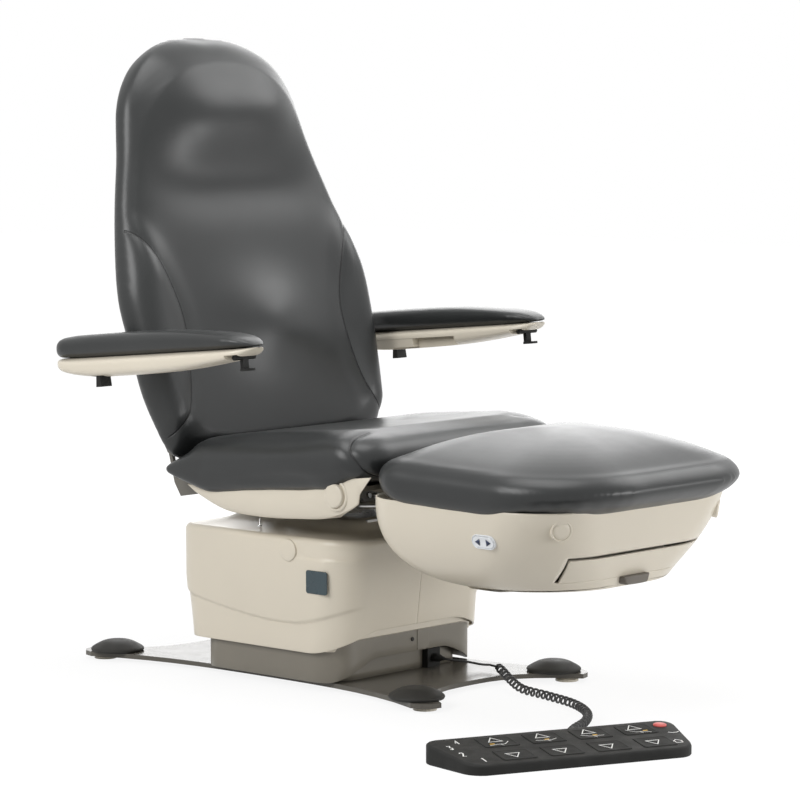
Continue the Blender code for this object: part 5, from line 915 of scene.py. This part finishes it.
poles = [ring * (0, 0, 1) + tray_middle for ring in (tray_rings[0], tray_rings[-1])]
drawer_tray = grid_piece("drawer_tray", np.stack([poles[0], *tray_rings, poles[1]]), wrap=True)
dress(drawer_tray, "drawer", beige_moulding, slot="beige", sharp=35)

# %% Drawer pull
PULL_HALF, PULL_LOW, PULL_TOP, PULL_MIDDLE = 0.043, 0.273, 0.291, 0.282
grip = whole_ring(PULL_HALF, PULL_LOW, PULL_TOP, 0.006, 0.003, 30)
rows = []
for drawn, y in ((1.0, -0.8300), (0.0, -0.8300), (0.0, -0.8440), (0.03, -0.8466), (0.08, -0.8476),
                 (0.5, -0.8476), (1.0, -0.8476)):
    x, z = grip[:, 0] * (1 - drawn), PULL_MIDDLE + (grip[:, 1] - PULL_MIDDLE) * (1 - drawn)
    bow = y + 0.004 * (x / PULL_HALF) ** 2
    rows.append(np.column_stack([x * (1 - 9.0 * (PULL_TOP - z)), bow, z]))
pull = grid_piece("pull", np.stack(rows), wrap=True)
dress(pull, "drawer", pull_brown, "drawer_pull", slot="pull", sharp=25)
print("drawer front:", len(drawer_front.data.polygons), "faces")

# %% [markdown]
# Two round caps close the moulding's screw holes near its front corners. Each is a shallow dish
# with a raised rim, square to the wall.

# %% Shell caps
def capped(name, centre, outward, profile, steps=64):
    """A turned cap from (radius, height) pairs, set on a wall."""
    radius, height = np.array(profile, float).T
    return turned(name, radius, height, centre, outward, steps)


SHELL_CAP = [(0.0225, -0.006), (0.0225, 0.0022), (0.0220, 0.0036), (0.0207, 0.0043), (0.0194, 0.0038),
             (0.0186, 0.0020), (0.0180, 0.0018), (0.0172, 0.0028), (0.0100, 0.0034)]
SHELL_CAP_TURN = math.radians(33)
SHELL_CAP_LEVEL = 0.80
half, front, _, corner, _ = hull_level(SHELL_CAP_LEVEL)
for side, sign in SIDES:
    out = np.array((sign * math.sin(SHELL_CAP_TURN), -math.cos(SHELL_CAP_TURN), -0.14))
    place = np.array((sign * (half - corner), front + corner, KEEL + SHELL_CAP_LEVEL * (RIM - KEEL)))
    place += out * (1, 1, 0) * corner
    shell_cap = capped(f"shell_cap_{side}", place, out, SHELL_CAP)
    dress(shell_cap, "leg_slide", beige_moulding, slot="beige", sharp=60)
print("shell caps:", len(shell_cap.data.polygons), "faces each")

# %% [markdown]
# The lift's cover is two moulded halves that meet at the front and the rear. Its walls lean out
# towards the top, roll over a soft shoulder and rise as a shallow roof to the yoke. The lower edge
# is level along the sides and steps up across the front in an S-curve. A long shallow crease,
# like a smile, and a short ledge below the shoulder are pressed into each side. The upper rear edge is
# drawn in a little, which leaves room for the back panel when the seat is tilted and the back laid down.

# %% Lift cover surface
COVER_LOW, COVER_STEP, SHOULDER = 0.083, 0.126, 0.313


def cover_plan(z, count):
    """Half of the cover's outline at a height of its wall."""
    share = np.clip((z - COVER_LOW) / (SHOULDER - COVER_LOW), 0, 1)
    return half_ring(0.2435 + 0.0015 * share, -0.239 - 0.030 * share ** 0.8,
                     0.212 + 0.024 * float(ease(share, -0.1, 0.62)), 0.081, 0.055, count)


COLUMNS = 150
levels = np.linspace(COVER_LOW, SHOULDER, 90)
wall = np.stack([at_height(cover_plan(z, COLUMNS), z) for z in levels])
walked = walk(wall[0])
lower = COVER_STEP - (COVER_STEP - COVER_LOW) * ease(walked, 0.11, 0.29)
up = np.linspace(0, 1, 70)[:, None]
row = (lower + (SHOULDER - lower) * up - COVER_LOW) / (SHOULDER - COVER_LOW) * (len(levels) - 1)
below = np.clip(row.astype(int), 0, len(levels) - 2)
part = (row - below)[..., None]
column = np.broadcast_to(np.arange(COLUMNS), row.shape)
wall = wall[below, column] * (1 - part) + wall[below + 1, column] * part

SMILE = through([(0.230, 0.185), (0.165, 0.169), (0.030, 0.149), (-0.070, 0.142), (-0.140, 0.146),
                 (-0.210, 0.164), (-0.262, 0.186), (-0.300, 0.215)], 60)[::-1]
smile_z = np.interp(wall[..., 1], SMILE[:, 0], SMILE[:, 1])
side_only = ease(-wall[..., 0], 0.10, 0.20)
below_smile = 1 - ease(wall[..., 2] - smile_z, -0.003, 0.003)
tuck = 0.0048 * side_only * below_smile * ease(wall[..., 2], COVER_LOW, smile_z - 0.004)
ledge = 0.0040 * side_only * ease(-wall[..., 1], 0.110, 0.150) * ease(wall[..., 2], 0.2815, 0.2850)
wall[..., 0] += tuck + ledge


def rear_room(across, along):
    """How far the middle of the upper rear edge is drawn in, so that the back panel clears it."""
    return 0.011 * (1 - ease(-across, 0.195, 0.222)) * ease(along, 0.12, 0.20)


wall[..., 1] -= rear_room(wall[..., 0], wall[..., 1]) * ease(wall[..., 2], 0.281, 0.311)

shoulder = wall[-1]
roll = np.radians(np.linspace(8, 90, 12))
inner = half_ring(0.105, -0.188, 0.095, 0.012, 0.012, COLUMNS)
edge_in = half_ring(0.231, -0.255, 0.222, 0.070, 0.045, COLUMNS)
edge_in[:, 1] -= rear_room(*edge_in.T)
rolled = [at_height(shoulder[:, :2] + (edge_in - shoulder[:, :2]) * (1 - math.cos(a)),
                    SHOULDER + 0.014 * math.sin(a)) for a in roll]
ROOF_RISE = through([(0.0, 0.327), (0.22, 0.332), (0.42, 0.338), (0.58, 0.348), (0.70, 0.356), (0.82, 0.359),
                     (1.0, 0.359)], 22)[1:]
roof = [at_height(edge_in + (inner - edge_in) * share, z) for share, z in ROOF_RISE]
half_cover = np.concatenate([wall, np.stack(rolled + roof)])
JOINT_HALF = 0.0003
for side, sign in SIDES:
    cover = grid_piece(f"cover_{side}", half_cover * (-sign, 1, 1) + (sign * JOINT_HALF, 0, 0))
    dress(cover, "lift_top", beige_moulding, f"lift_cover_{side}", slot="beige", wall=0.0035, edge=0.0008,
          sharp=35)
print("lift cover:", len(cover.data.polygons), "faces each half")

# %% [markdown]
# A round plug closes the assembly hole high on each side, and a small dark plate sits below it.
# Plates of this kind carry the maker's sign on the real chair; here it is left bare.

# %% Cover plugs and plate
COVER_PLUG = [(0.0235, -0.004), (0.0235, 0.0018), (0.0230, 0.0030), (0.0218, 0.0035), (0.0120, 0.0037)]
for side, sign in SIDES:
    plug = capped(f"cover_plug_{side}", (sign * 0.245, -0.102, 0.297), (sign, 0, 0), COVER_PLUG)
    dress(plug, "lift_top", beige_moulding, slot="beige", sharp=60)
PLATE_PLACE = (-0.184, 0.2355)
plate_yz = whole_ring(0.0295, -0.0245, 0.0245, 0.005, 0.005, 40)
rows = [np.column_stack([np.full(len(plate_yz), x), plate_yz * share + PLATE_PLACE])
        for x, share in ((-0.2440, 1.0), (-0.2464, 1.0), (-0.2470, 0.98), (-0.2470, 0.0))]
bare_plate = grid_piece("bare_plate", np.stack(rows), wrap=True)
dress(bare_plate, "lift_top", badge_slate, slot="black")
STUD = [(0.0055, 0.0), (0.0055, 0.0015), (0.0022, 0.0024), (0.0018, 0.0030), (0.0018, 0.016),
        (0.0012, 0.0172)]
stud = capped("roof_stud", (-0.200, 0.024, 0.3315), (0, 0, 1), STUD, 32)
dress(stud, "lift_top", bright_pin, slot="steel")
print("plugs, plate and stud placed")

# %% [markdown]
# The skirt is a bent steel sheet round the foot of the lift, open across the front where the cord
# comes out. Its lower edge follows the plate and arches up between sloping ends.

# %% Skirt
SKIRT_ARCH, SKIRT_LOW, SKIRT_TOP, SKIRT_FRONT = 0.063, 0.0195, 0.300, -0.228
plan = half_ring(0.232, SKIRT_FRONT, 0.172, 0.070, 0.050, 160)
walked = walk(plan)
bottom = SKIRT_ARCH - (SKIRT_ARCH - SKIRT_LOW) * ease(walked, 0.10, 0.24)
skirt_half = np.stack([at_height(plan, bottom + (SKIRT_TOP - bottom) * up) for up in np.linspace(0, 1, 14)])
skirt_grid = np.concatenate([skirt_half, skirt_half[:, -2:0:-1] * (-1, 1, 1)], axis=1)
skirt = grid_piece("skirt", skirt_grid, wrap=True)
dress(skirt, "base", taupe_paint, "base_skirt", slot="taupe", wall=0.0035, edge=0.0008)
seam_strip = box_piece("skirt_lap", (0.0225, -0.2292, 0.0655), (0.0600, -0.2276, 0.2600))
dress(seam_strip, "base", taupe_paint, slot="taupe", edge=0.0005)
inner_plan = whole_ring(0.196, -0.2055, 0.146, 0.050, 0.035, 80)
inner_rows = np.stack([at_height(inner_plan, z) for z in np.linspace(0.0192, 0.118, 8)])
inner_wall = grid_piece("skirt_inner", inner_rows, wrap=True)
dress(inner_wall, "base", taupe_paint, slot="taupe", wall=0.003)
SCREW = [(0.0048, -0.001), (0.0048, 0.0012), (0.0040, 0.0022), (0.0020, 0.0026)]
skirt_screw = capped("skirt_screw", (0.007, SKIRT_FRONT, 0.090), (0, -1, 0), SCREW, 24)
dress(skirt_screw, "base", cap_rubber, slot="black")
print("skirt:", len(skirt.data.polygons), "faces")

# %% [markdown]
# Each ear of the base plate wears a low rubber dome. It is turned from a profile that stands upright
# at the rim, slopes in and ends almost flat.

# %% Corner domes
DOME = through([(0.0570, 0.0), (0.0588, 0.0045), (0.0560, 0.0085), (0.0470, 0.0140), (0.0355, 0.0198),
                (0.0250, 0.0230), (0.0120, 0.0242)], 40)
for end, ys in (("front", -1), ("rear", 1)):
    for side, xs in SIDES:
        dome = capped(f"corner_dome_{end}_{side}", (xs * 0.222, ys * 0.444, 0.0193), (0, 0, 1), DOME, 72)
        dress(dome, "base", cap_rubber, f"corner_cap_{end}_{side}", slot="cap_rubber")
print("domes:", len(dome.data.polygons), "faces each")

# %% [markdown]
# A beige side cover hides the seat's frame on each side. It follows the cushion's lower edge,
# curls in under the frame and sweeps up to a point at the front, where a round cap covers the
# pivot of the leg section.

# %% Seat side covers
SIDE_TOP = through([(0.0365, 0.0402), (-0.0925, 0.0352), (-0.302, 0.0268), (-0.343, 0.0370),
                    (-0.384, 0.0479), (-0.440, 0.0492), (-0.4958, 0.0505)], 120)
SIDE_LOW = through([(0.0365, 0.0400), (0.0052, 0.0175), (-0.070, -0.0168), (-0.175, -0.0316),
                    (-0.291, -0.0357), (-0.348, -0.0350), (-0.392, -0.0272), (-0.420, -0.0191),
                    (-0.441, -0.0105), (-0.4575, -0.0005), (-0.4615, 0.0160), (-0.4775, 0.0321),
                    (-0.4958, 0.0495)], 160)
y = np.linspace(0.0365, -0.4955, 110)
head = np.interp(-y, -SIDE_TOP[:, 0], SIDE_TOP[:, 1])
foot = np.interp(-y, -SIDE_LOW[:, 0], SIDE_LOW[:, 1])
tall = np.clip((head - foot) / 0.060, 0, 1)
bend = np.linspace(0, 1, 40)
upright = np.minimum(1.0, bend / 0.7)
under = np.clip((bend - 0.7) / 0.3, 0, 1)
behind = (1 - 0.94 * ease(-y, 0.330, 0.430))[:, None]
curl = behind * (0.014 * bowl(upright, 3.2) + 0.045 * under)
out = 0.3022 + tall[:, None] * (0.004 * np.sin(np.pi * upright ** 0.8) - curl)
z = head[:, None] + (foot - head)[:, None] * (upright + 0.02 * under)
PIVOT_CAP = [(0.0340, -0.010), (0.0338, 0.0015), (0.0325, 0.0040), (0.0300, 0.0050), (0.0272, 0.0045),
             (0.0262, 0.0024), (0.0256, 0.0024), (0.0250, 0.0085), (0.0240, 0.0106), (0.0222, 0.0115),
             (0.0080, 0.0119)]
half_side = np.stack([-out, np.broadcast_to(y[:, None], out.shape), z], axis=-1)
for side, sign in SIDES:
    side_cover = grid_piece(f"side_cover_{side}", pitched(half_side * (-sign, 1, 1), SEAT_AXIS, SEAT_LEAN))
    dress(side_cover, "seat", beige_moulding, f"seat_side_cover_{side}", slot="beige", wall=0.003)
    centre = pitched((sign * 0.3030, -0.3976, 0.0148), SEAT_AXIS, SEAT_LEAN)
    cap = capped(f"pivot_cap_{side}", centre, (sign, 0, 0), PIVOT_CAP)
    dress(cap, "seat", beige_moulding, slot="beige", sharp=60)
print("side covers:", len(side_cover.data.polygons), "faces each")

# %% [markdown]
# The foot control is a low black wedge with eight soft keys in two rows. Its outline is a
# trapezium with round corners; rings shrink a little towards the top, so that the edge is rounded,
# and the top slopes down to the front.

# %% Foot control housing
CONTROL_SLOPE = math.atan2(0.022, 0.170)
CONTROL_WIDE, CONTROL_DEEP, CONTROL_CORNER, CONTROL_EDGE = 0.272, 0.085, 0.034, 0.006
KEY_WIDE, KEY_DEEP, KEY_CORNER, KEY_STEP, KEY_ROWS = 0.036, 0.028, 0.006, 0.100, 0.078
KEY_PLACES = [(0.022 + column * KEY_STEP, row * KEY_ROWS * math.cos(CONTROL_SLOPE))
              for row in (0.5, -0.5) for column in (-1.5, -0.5, 0.5, 1.5)]


def control_outline(drawn):
    """The control's plan, drawn in by an amount: a rounded rectangle that narrows to the front."""
    corner = CONTROL_CORNER - drawn * 0.5
    plan = whole_ring(CONTROL_WIDE - drawn, drawn - CONTROL_DEEP, CONTROL_DEEP - drawn, corner, corner, 60)
    narrowed = 1 - 0.066 * (CONTROL_DEEP - plan[:, 1]) / CONTROL_DEEP
    return np.column_stack([plan[:, 0] * narrowed, plan[:, 1]])


def control_top(y):
    """Height of the sloping top at a distance from the middle."""
    return 0.031 + y * math.tan(CONTROL_SLOPE)


foot = control_outline(0.002)
rings = [at_height(foot * 0.0, 0.0), at_height(foot, 0.0), at_height(control_outline(0.0), 0.002)]
for angle in np.radians(np.linspace(0, 90, 9)):
    plan = control_outline(CONTROL_EDGE * (1 - math.cos(angle)))
    rings.append(at_height(plan, control_top(plan[:, 1]) - CONTROL_EDGE * (1 - math.sin(angle))))
for share in (0.9, 0.6, 0.3, 0.0):
    plan = control_outline(CONTROL_EDGE) * share
    rings.append(at_height(plan, control_top(plan[:, 1])))
pedal_base = grid_piece("pedal_base", control_floor(np.stack(rings)), wrap=True)
POCKET_ROOM = 0.0008
pockets = []
for cx, cy in KEY_PLACES:
    plan = whole_ring(KEY_WIDE + POCKET_ROOM, -KEY_DEEP - POCKET_ROOM, KEY_DEEP + POCKET_ROOM, KEY_CORNER,
                      KEY_CORNER, 72)
    well = [at_height(plan + (cx, cy), control_top(cy + plan[:, 1]) + lift) for lift in (-0.0070, 0.02)]
    count = len(plan)
    ends = [list(range(count))[::-1], list(range(count, 2 * count))]
    pockets.append(new_piece("pocket", control_floor(well), grid_faces(2, count, True).tolist() + ends))
carve(pedal_base, *pockets)
dress(pedal_base, "base", black_moulding, "foot_control_housing", slot="black", sharp=35)
print("foot control:", len(pedal_base.data.polygons), "faces")

# %% Foot keys and their printed signs
def on_slope(x, y, lift):
    """Points on the control's sloping top, lifted square to it."""
    ahead, above = y - lift * math.sin(CONTROL_SLOPE), control_top(y) + lift * math.cos(CONTROL_SLOPE)
    return control_floor(np.stack(np.broadcast_arrays(x, ahead, above), axis=-1))


def ribbon(name, line, width, lift, closed):
    """A flat printed stroke of a width along a line on the sloping top."""
    line = np.asarray(line, float)
    step = (np.roll(line, -1, 0) - np.roll(line, 1, 0)) if closed else np.gradient(line, axis=0)
    across = np.stack([-step[:, 1], step[:, 0]], axis=1)
    across *= (width / 2) / np.linalg.norm(across, axis=1)[:, None]
    if closed:
        across *= 1.6
    grid = np.stack([line - across, line + across])
    return grid_piece(name, on_slope(grid[..., 0], grid[..., 1], lift), wrap=closed)


KEY_PROFILE = [(0.0, -0.0046), (0.0, 0.0), (0.0004, 0.0008), (0.0016, 0.0012), (0.0040, 0.0012),
               (0.0052, 0.0009), (0.0064, 0.0009)]
KEY_TOP = KEY_PROFILE[-1][1]
SIGN_LIFT, MARK_LIFT = 0.0012, 0.0014
MARK_SPOTS = (-0.016, 0.0, 0.004, 0.014)
for number, (cx, cy) in enumerate(KEY_PLACES, start=1):
    upper = cy > 0
    rings = []
    for drawn, lift in KEY_PROFILE:
        plan = whole_ring(KEY_WIDE - drawn, drawn - KEY_DEEP, KEY_DEEP - drawn, KEY_CORNER, KEY_CORNER, 30)
        rings.append(on_slope(cx + plan[:, 0], cy + plan[:, 1], lift))
    rings += [on_slope(cx + plan[:, 0] * share, cy + plan[:, 1] * share, KEY_TOP) for share in (0.5, 0.0)]
    rings.insert(0, on_slope(cx + plan[:, 0] * 0.0, cy + plan[:, 1] * 0.0, KEY_PROFILE[0][1]))
    key = grid_piece(f"key_{number}", np.stack(rings), wrap=True)
    dress(key, f"foot_key_{number}", key_rubber, f"foot_key_{number}", slot="black")
    way = 1.0 if upper else -1.0
    arrow = np.array([(0.0, 0.0125 * way), (-0.0145, -0.0105 * way), (0.0145, -0.0105 * way)])
    arrow += (cx - 0.003, cy + (0.011 if upper else -0.004))
    prints = [ribbon(f"key_sign_{number}", arrow, 0.0026, SIGN_LIFT, True)]
    if upper:
        bend = 0.010 * (number - 2.5) / 1.5
        couch = [(-0.024, -0.010 + bend), (-0.008, -0.016), (0.010, -0.016), (0.022, -0.013 - bend)]
        stem = [(0.000, -0.0165), (0.004, -0.0235)]
        prints += [ribbon(f"key_picture_{number}_{part}", np.array(line) + (cx, cy), 0.0016, SIGN_LIFT, False)
                   for part, line in enumerate((couch, stem))]
        spot = MARK_SPOTS[number - 1]
        mark_line = np.array([(spot - 0.005, -0.0120), (spot + 0.005, -0.0120)]) + (cx, cy)
        mark = ribbon(f"key_mark_{number}", mark_line, 0.0040, MARK_LIFT, False)
        dress(mark, f"foot_key_{number}", print_yellow, slot="switch")
    for piece in prints:
        dress(piece, f"foot_key_{number}", print_white, slot="switch")
print("foot keys:", number)

# %% [markdown]
# Round the keys the housing is printed too: the numbers of four stored positions at the left end, and
# at the right end a red stop and two small signs, a level couch and a house for the starting position.

# %% Prints on the housing
DIGITS = {1: [(-0.3, 0.6), (0.0, 1.0), (0.0, -1.0)],
          2: [(-0.5, 0.6), (-0.2, 1.0), (0.3, 1.0), (0.5, 0.5), (-0.5, -1.0), (0.55, -1.0)],
          3: [(-0.5, 1.0), (0.5, 1.0), (0.0, 0.2), (0.5, -0.2), (0.4, -0.8), (0.0, -1.0), (-0.5, -0.8)],
          4: [(0.3, -1.0), (0.3, 1.0), (-0.5, -0.4), (0.6, -0.4)]}
DIGIT_PLACES = {1: (-0.200, -0.053), 2: (-0.226, -0.014), 3: (-0.232, 0.028), 4: (-0.206, 0.056)}
PRINT_LIFT = 0.0003
for digit, place in DIGIT_PLACES.items():
    line = np.array(DIGITS[digit]) * (0.0066, 0.0105) + place
    dress(ribbon(f"position_{digit}", line, 0.0030, PRINT_LIFT, False), "base", print_white, slot="switch")
around = np.linspace(0, 2 * np.pi, 48, endpoint=False)
disc = np.column_stack([0.0135 * np.cos(around), 0.0125 * np.sin(around)])
STOP_PLACE = (0.232, 0.052)
STOP_PROFILE = [(1.0, -0.001), (1.0, 0.0016), (0.9, 0.0026), (0.5, 0.0030), (0.0, 0.0030)]
rings = [on_slope(*(STOP_PLACE + disc * share).T, lift) for share, lift in STOP_PROFILE]
dress(grid_piece("stop_button", np.stack(rings), wrap=True), "base", stop_red, slot="switch")
SIGNS = {"couch": [(-1.4, 0.5), (-0.5, 0.0), (0.6, 0.0), (1.4, 0.5)],
         "house": [(-1.2, 0.0), (0.0, 1.1), (1.2, 0.0), (0.8, 0.0), (0.8, -1.0), (-0.8, -1.0), (-0.8, 0.0)]}
SIGN_PLACES = {"couch": (0.238, 0.004), "house": (0.218, -0.046)}
for sign_name, place in SIGN_PLACES.items():
    line = np.array(SIGNS[sign_name]) * 0.0085 + place
    dress(ribbon(f"sign_{sign_name}", line, 0.0024, PRINT_LIFT, False), "base", print_white, slot="switch")
print("prints:", len(DIGITS) + len(SIGNS) + 1)

# %% [markdown]
# The extension switch is a small white rocker in an oval rim on the right wall of the leg shell.
# Two dark arrows point along the wall.

# %% Extension switch
SWITCH_PLACE = np.array((-0.3171, -0.706, 0.377))


def on_wall(x, y, lift):
    """Points on the leg shell's right wall at the switch: x up the wall, y along it, lifted outwards."""
    tilt = math.radians(14.84)
    up = np.array((-math.sin(tilt), 0.0, math.cos(tilt)))
    out = np.array((-math.cos(tilt), 0.0, -math.sin(tilt)))
    x, y, lift = (value[..., None] for value in np.broadcast_arrays(x, y, lift))
    return SWITCH_PLACE + x * up + y * (0, 1, 0) + lift * out


def oval(half_width, half_length):
    """Outline of a slot: straight sides and half-round ends."""
    return whole_ring(half_width, -half_length, half_length, half_width * 0.999, half_width * 0.999, 40)


rings = []
for grow, lift in ((0.0030, -0.006), (0.0032, 0.0010), (0.0028, 0.0018), (0.0020, 0.0022), (0.0012, 0.0018),
                   (0.0006, 0.0010), (0.0006, -0.0076)):
    plan = oval(0.012 + grow, 0.027 + grow)
    rings.append(on_wall(plan[:, 0], plan[:, 1], lift))
rings.append(on_wall(plan[:, 0] * 0.0, plan[:, 1] * 0.0, -0.0076))
switch_rim = grid_piece("switch_rim", np.stack(rings), wrap=True)
dress(switch_rim, "leg_slide", switch_white, slot="switch")
rings = [on_wall(plan[:, 0] * 0.0, plan[:, 1] * 0.0, -0.0045)]
for drawn, lift in ((0.0, -0.0045), (0.0, 0.0020), (0.0008, 0.0028)):
    plan = oval(0.0118 - drawn, 0.0268 - drawn)
    rings.append(on_wall(plan[:, 0], plan[:, 1], lift))
for share in (0.8, 0.5, 0.2, 0.0):
    rings.append(on_wall(plan[:, 0] * share, plan[:, 1] * share, 0.0028 - 0.0012 * (1 - share)))
rocker = grid_piece("rocker", np.stack(rings), wrap=True)
dress(rocker, "extension_switch", switch_white, "extension_switch", slot="switch")
for side, way in (("fore", -1), ("aft", 1)):
    tri = np.array([(0.0, 0.0205 * way), (0.0072, 0.0085 * way), (-0.0072, 0.0085 * way)])
    arrow = new_piece(f"rocker_arrow_{side}", on_wall(tri[:, 0], tri[:, 1], 0.0031), [(0, 1, 2)])
    dress(arrow, "extension_switch", switch_navy, slot="black", wall=0.0003)
print("switch placed")

# %% [markdown]
# What is left of the frame keeps its shape and takes a finish that suits it: bright zinc on the sliding
# columns and rods, taupe and warm grey paint on the welded frames and the actuators, black mouldings on the
# small controls.

# %% Finishes for the frame's own parts
FRAME_FINISH = {"base_plate": satin_plate, "mid_shroud": beige_moulding, "control_socket": black_moulding,
                "seat_frame": taupe_paint, "leg_carrier": taupe_paint, "back_frame": frame_paint,
                "lift_actuator_body": frame_paint, "tilt_actuator_body": frame_paint,
                "back_actuator_body": frame_paint, "leg_actuator_body": frame_paint}
for name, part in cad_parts.items():
    default = zinc_steel
    if name.startswith(("arm_tab", "arm_paddle")):
        default = black_moulding
    if name.startswith(("levelling_foot", "arm_bar")):
        default = beige_moulding
    part.data.materials.clear()
    part.data.materials.append(FRAME_FINISH.get(name, default))
print("frame parts finished:", len(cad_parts))
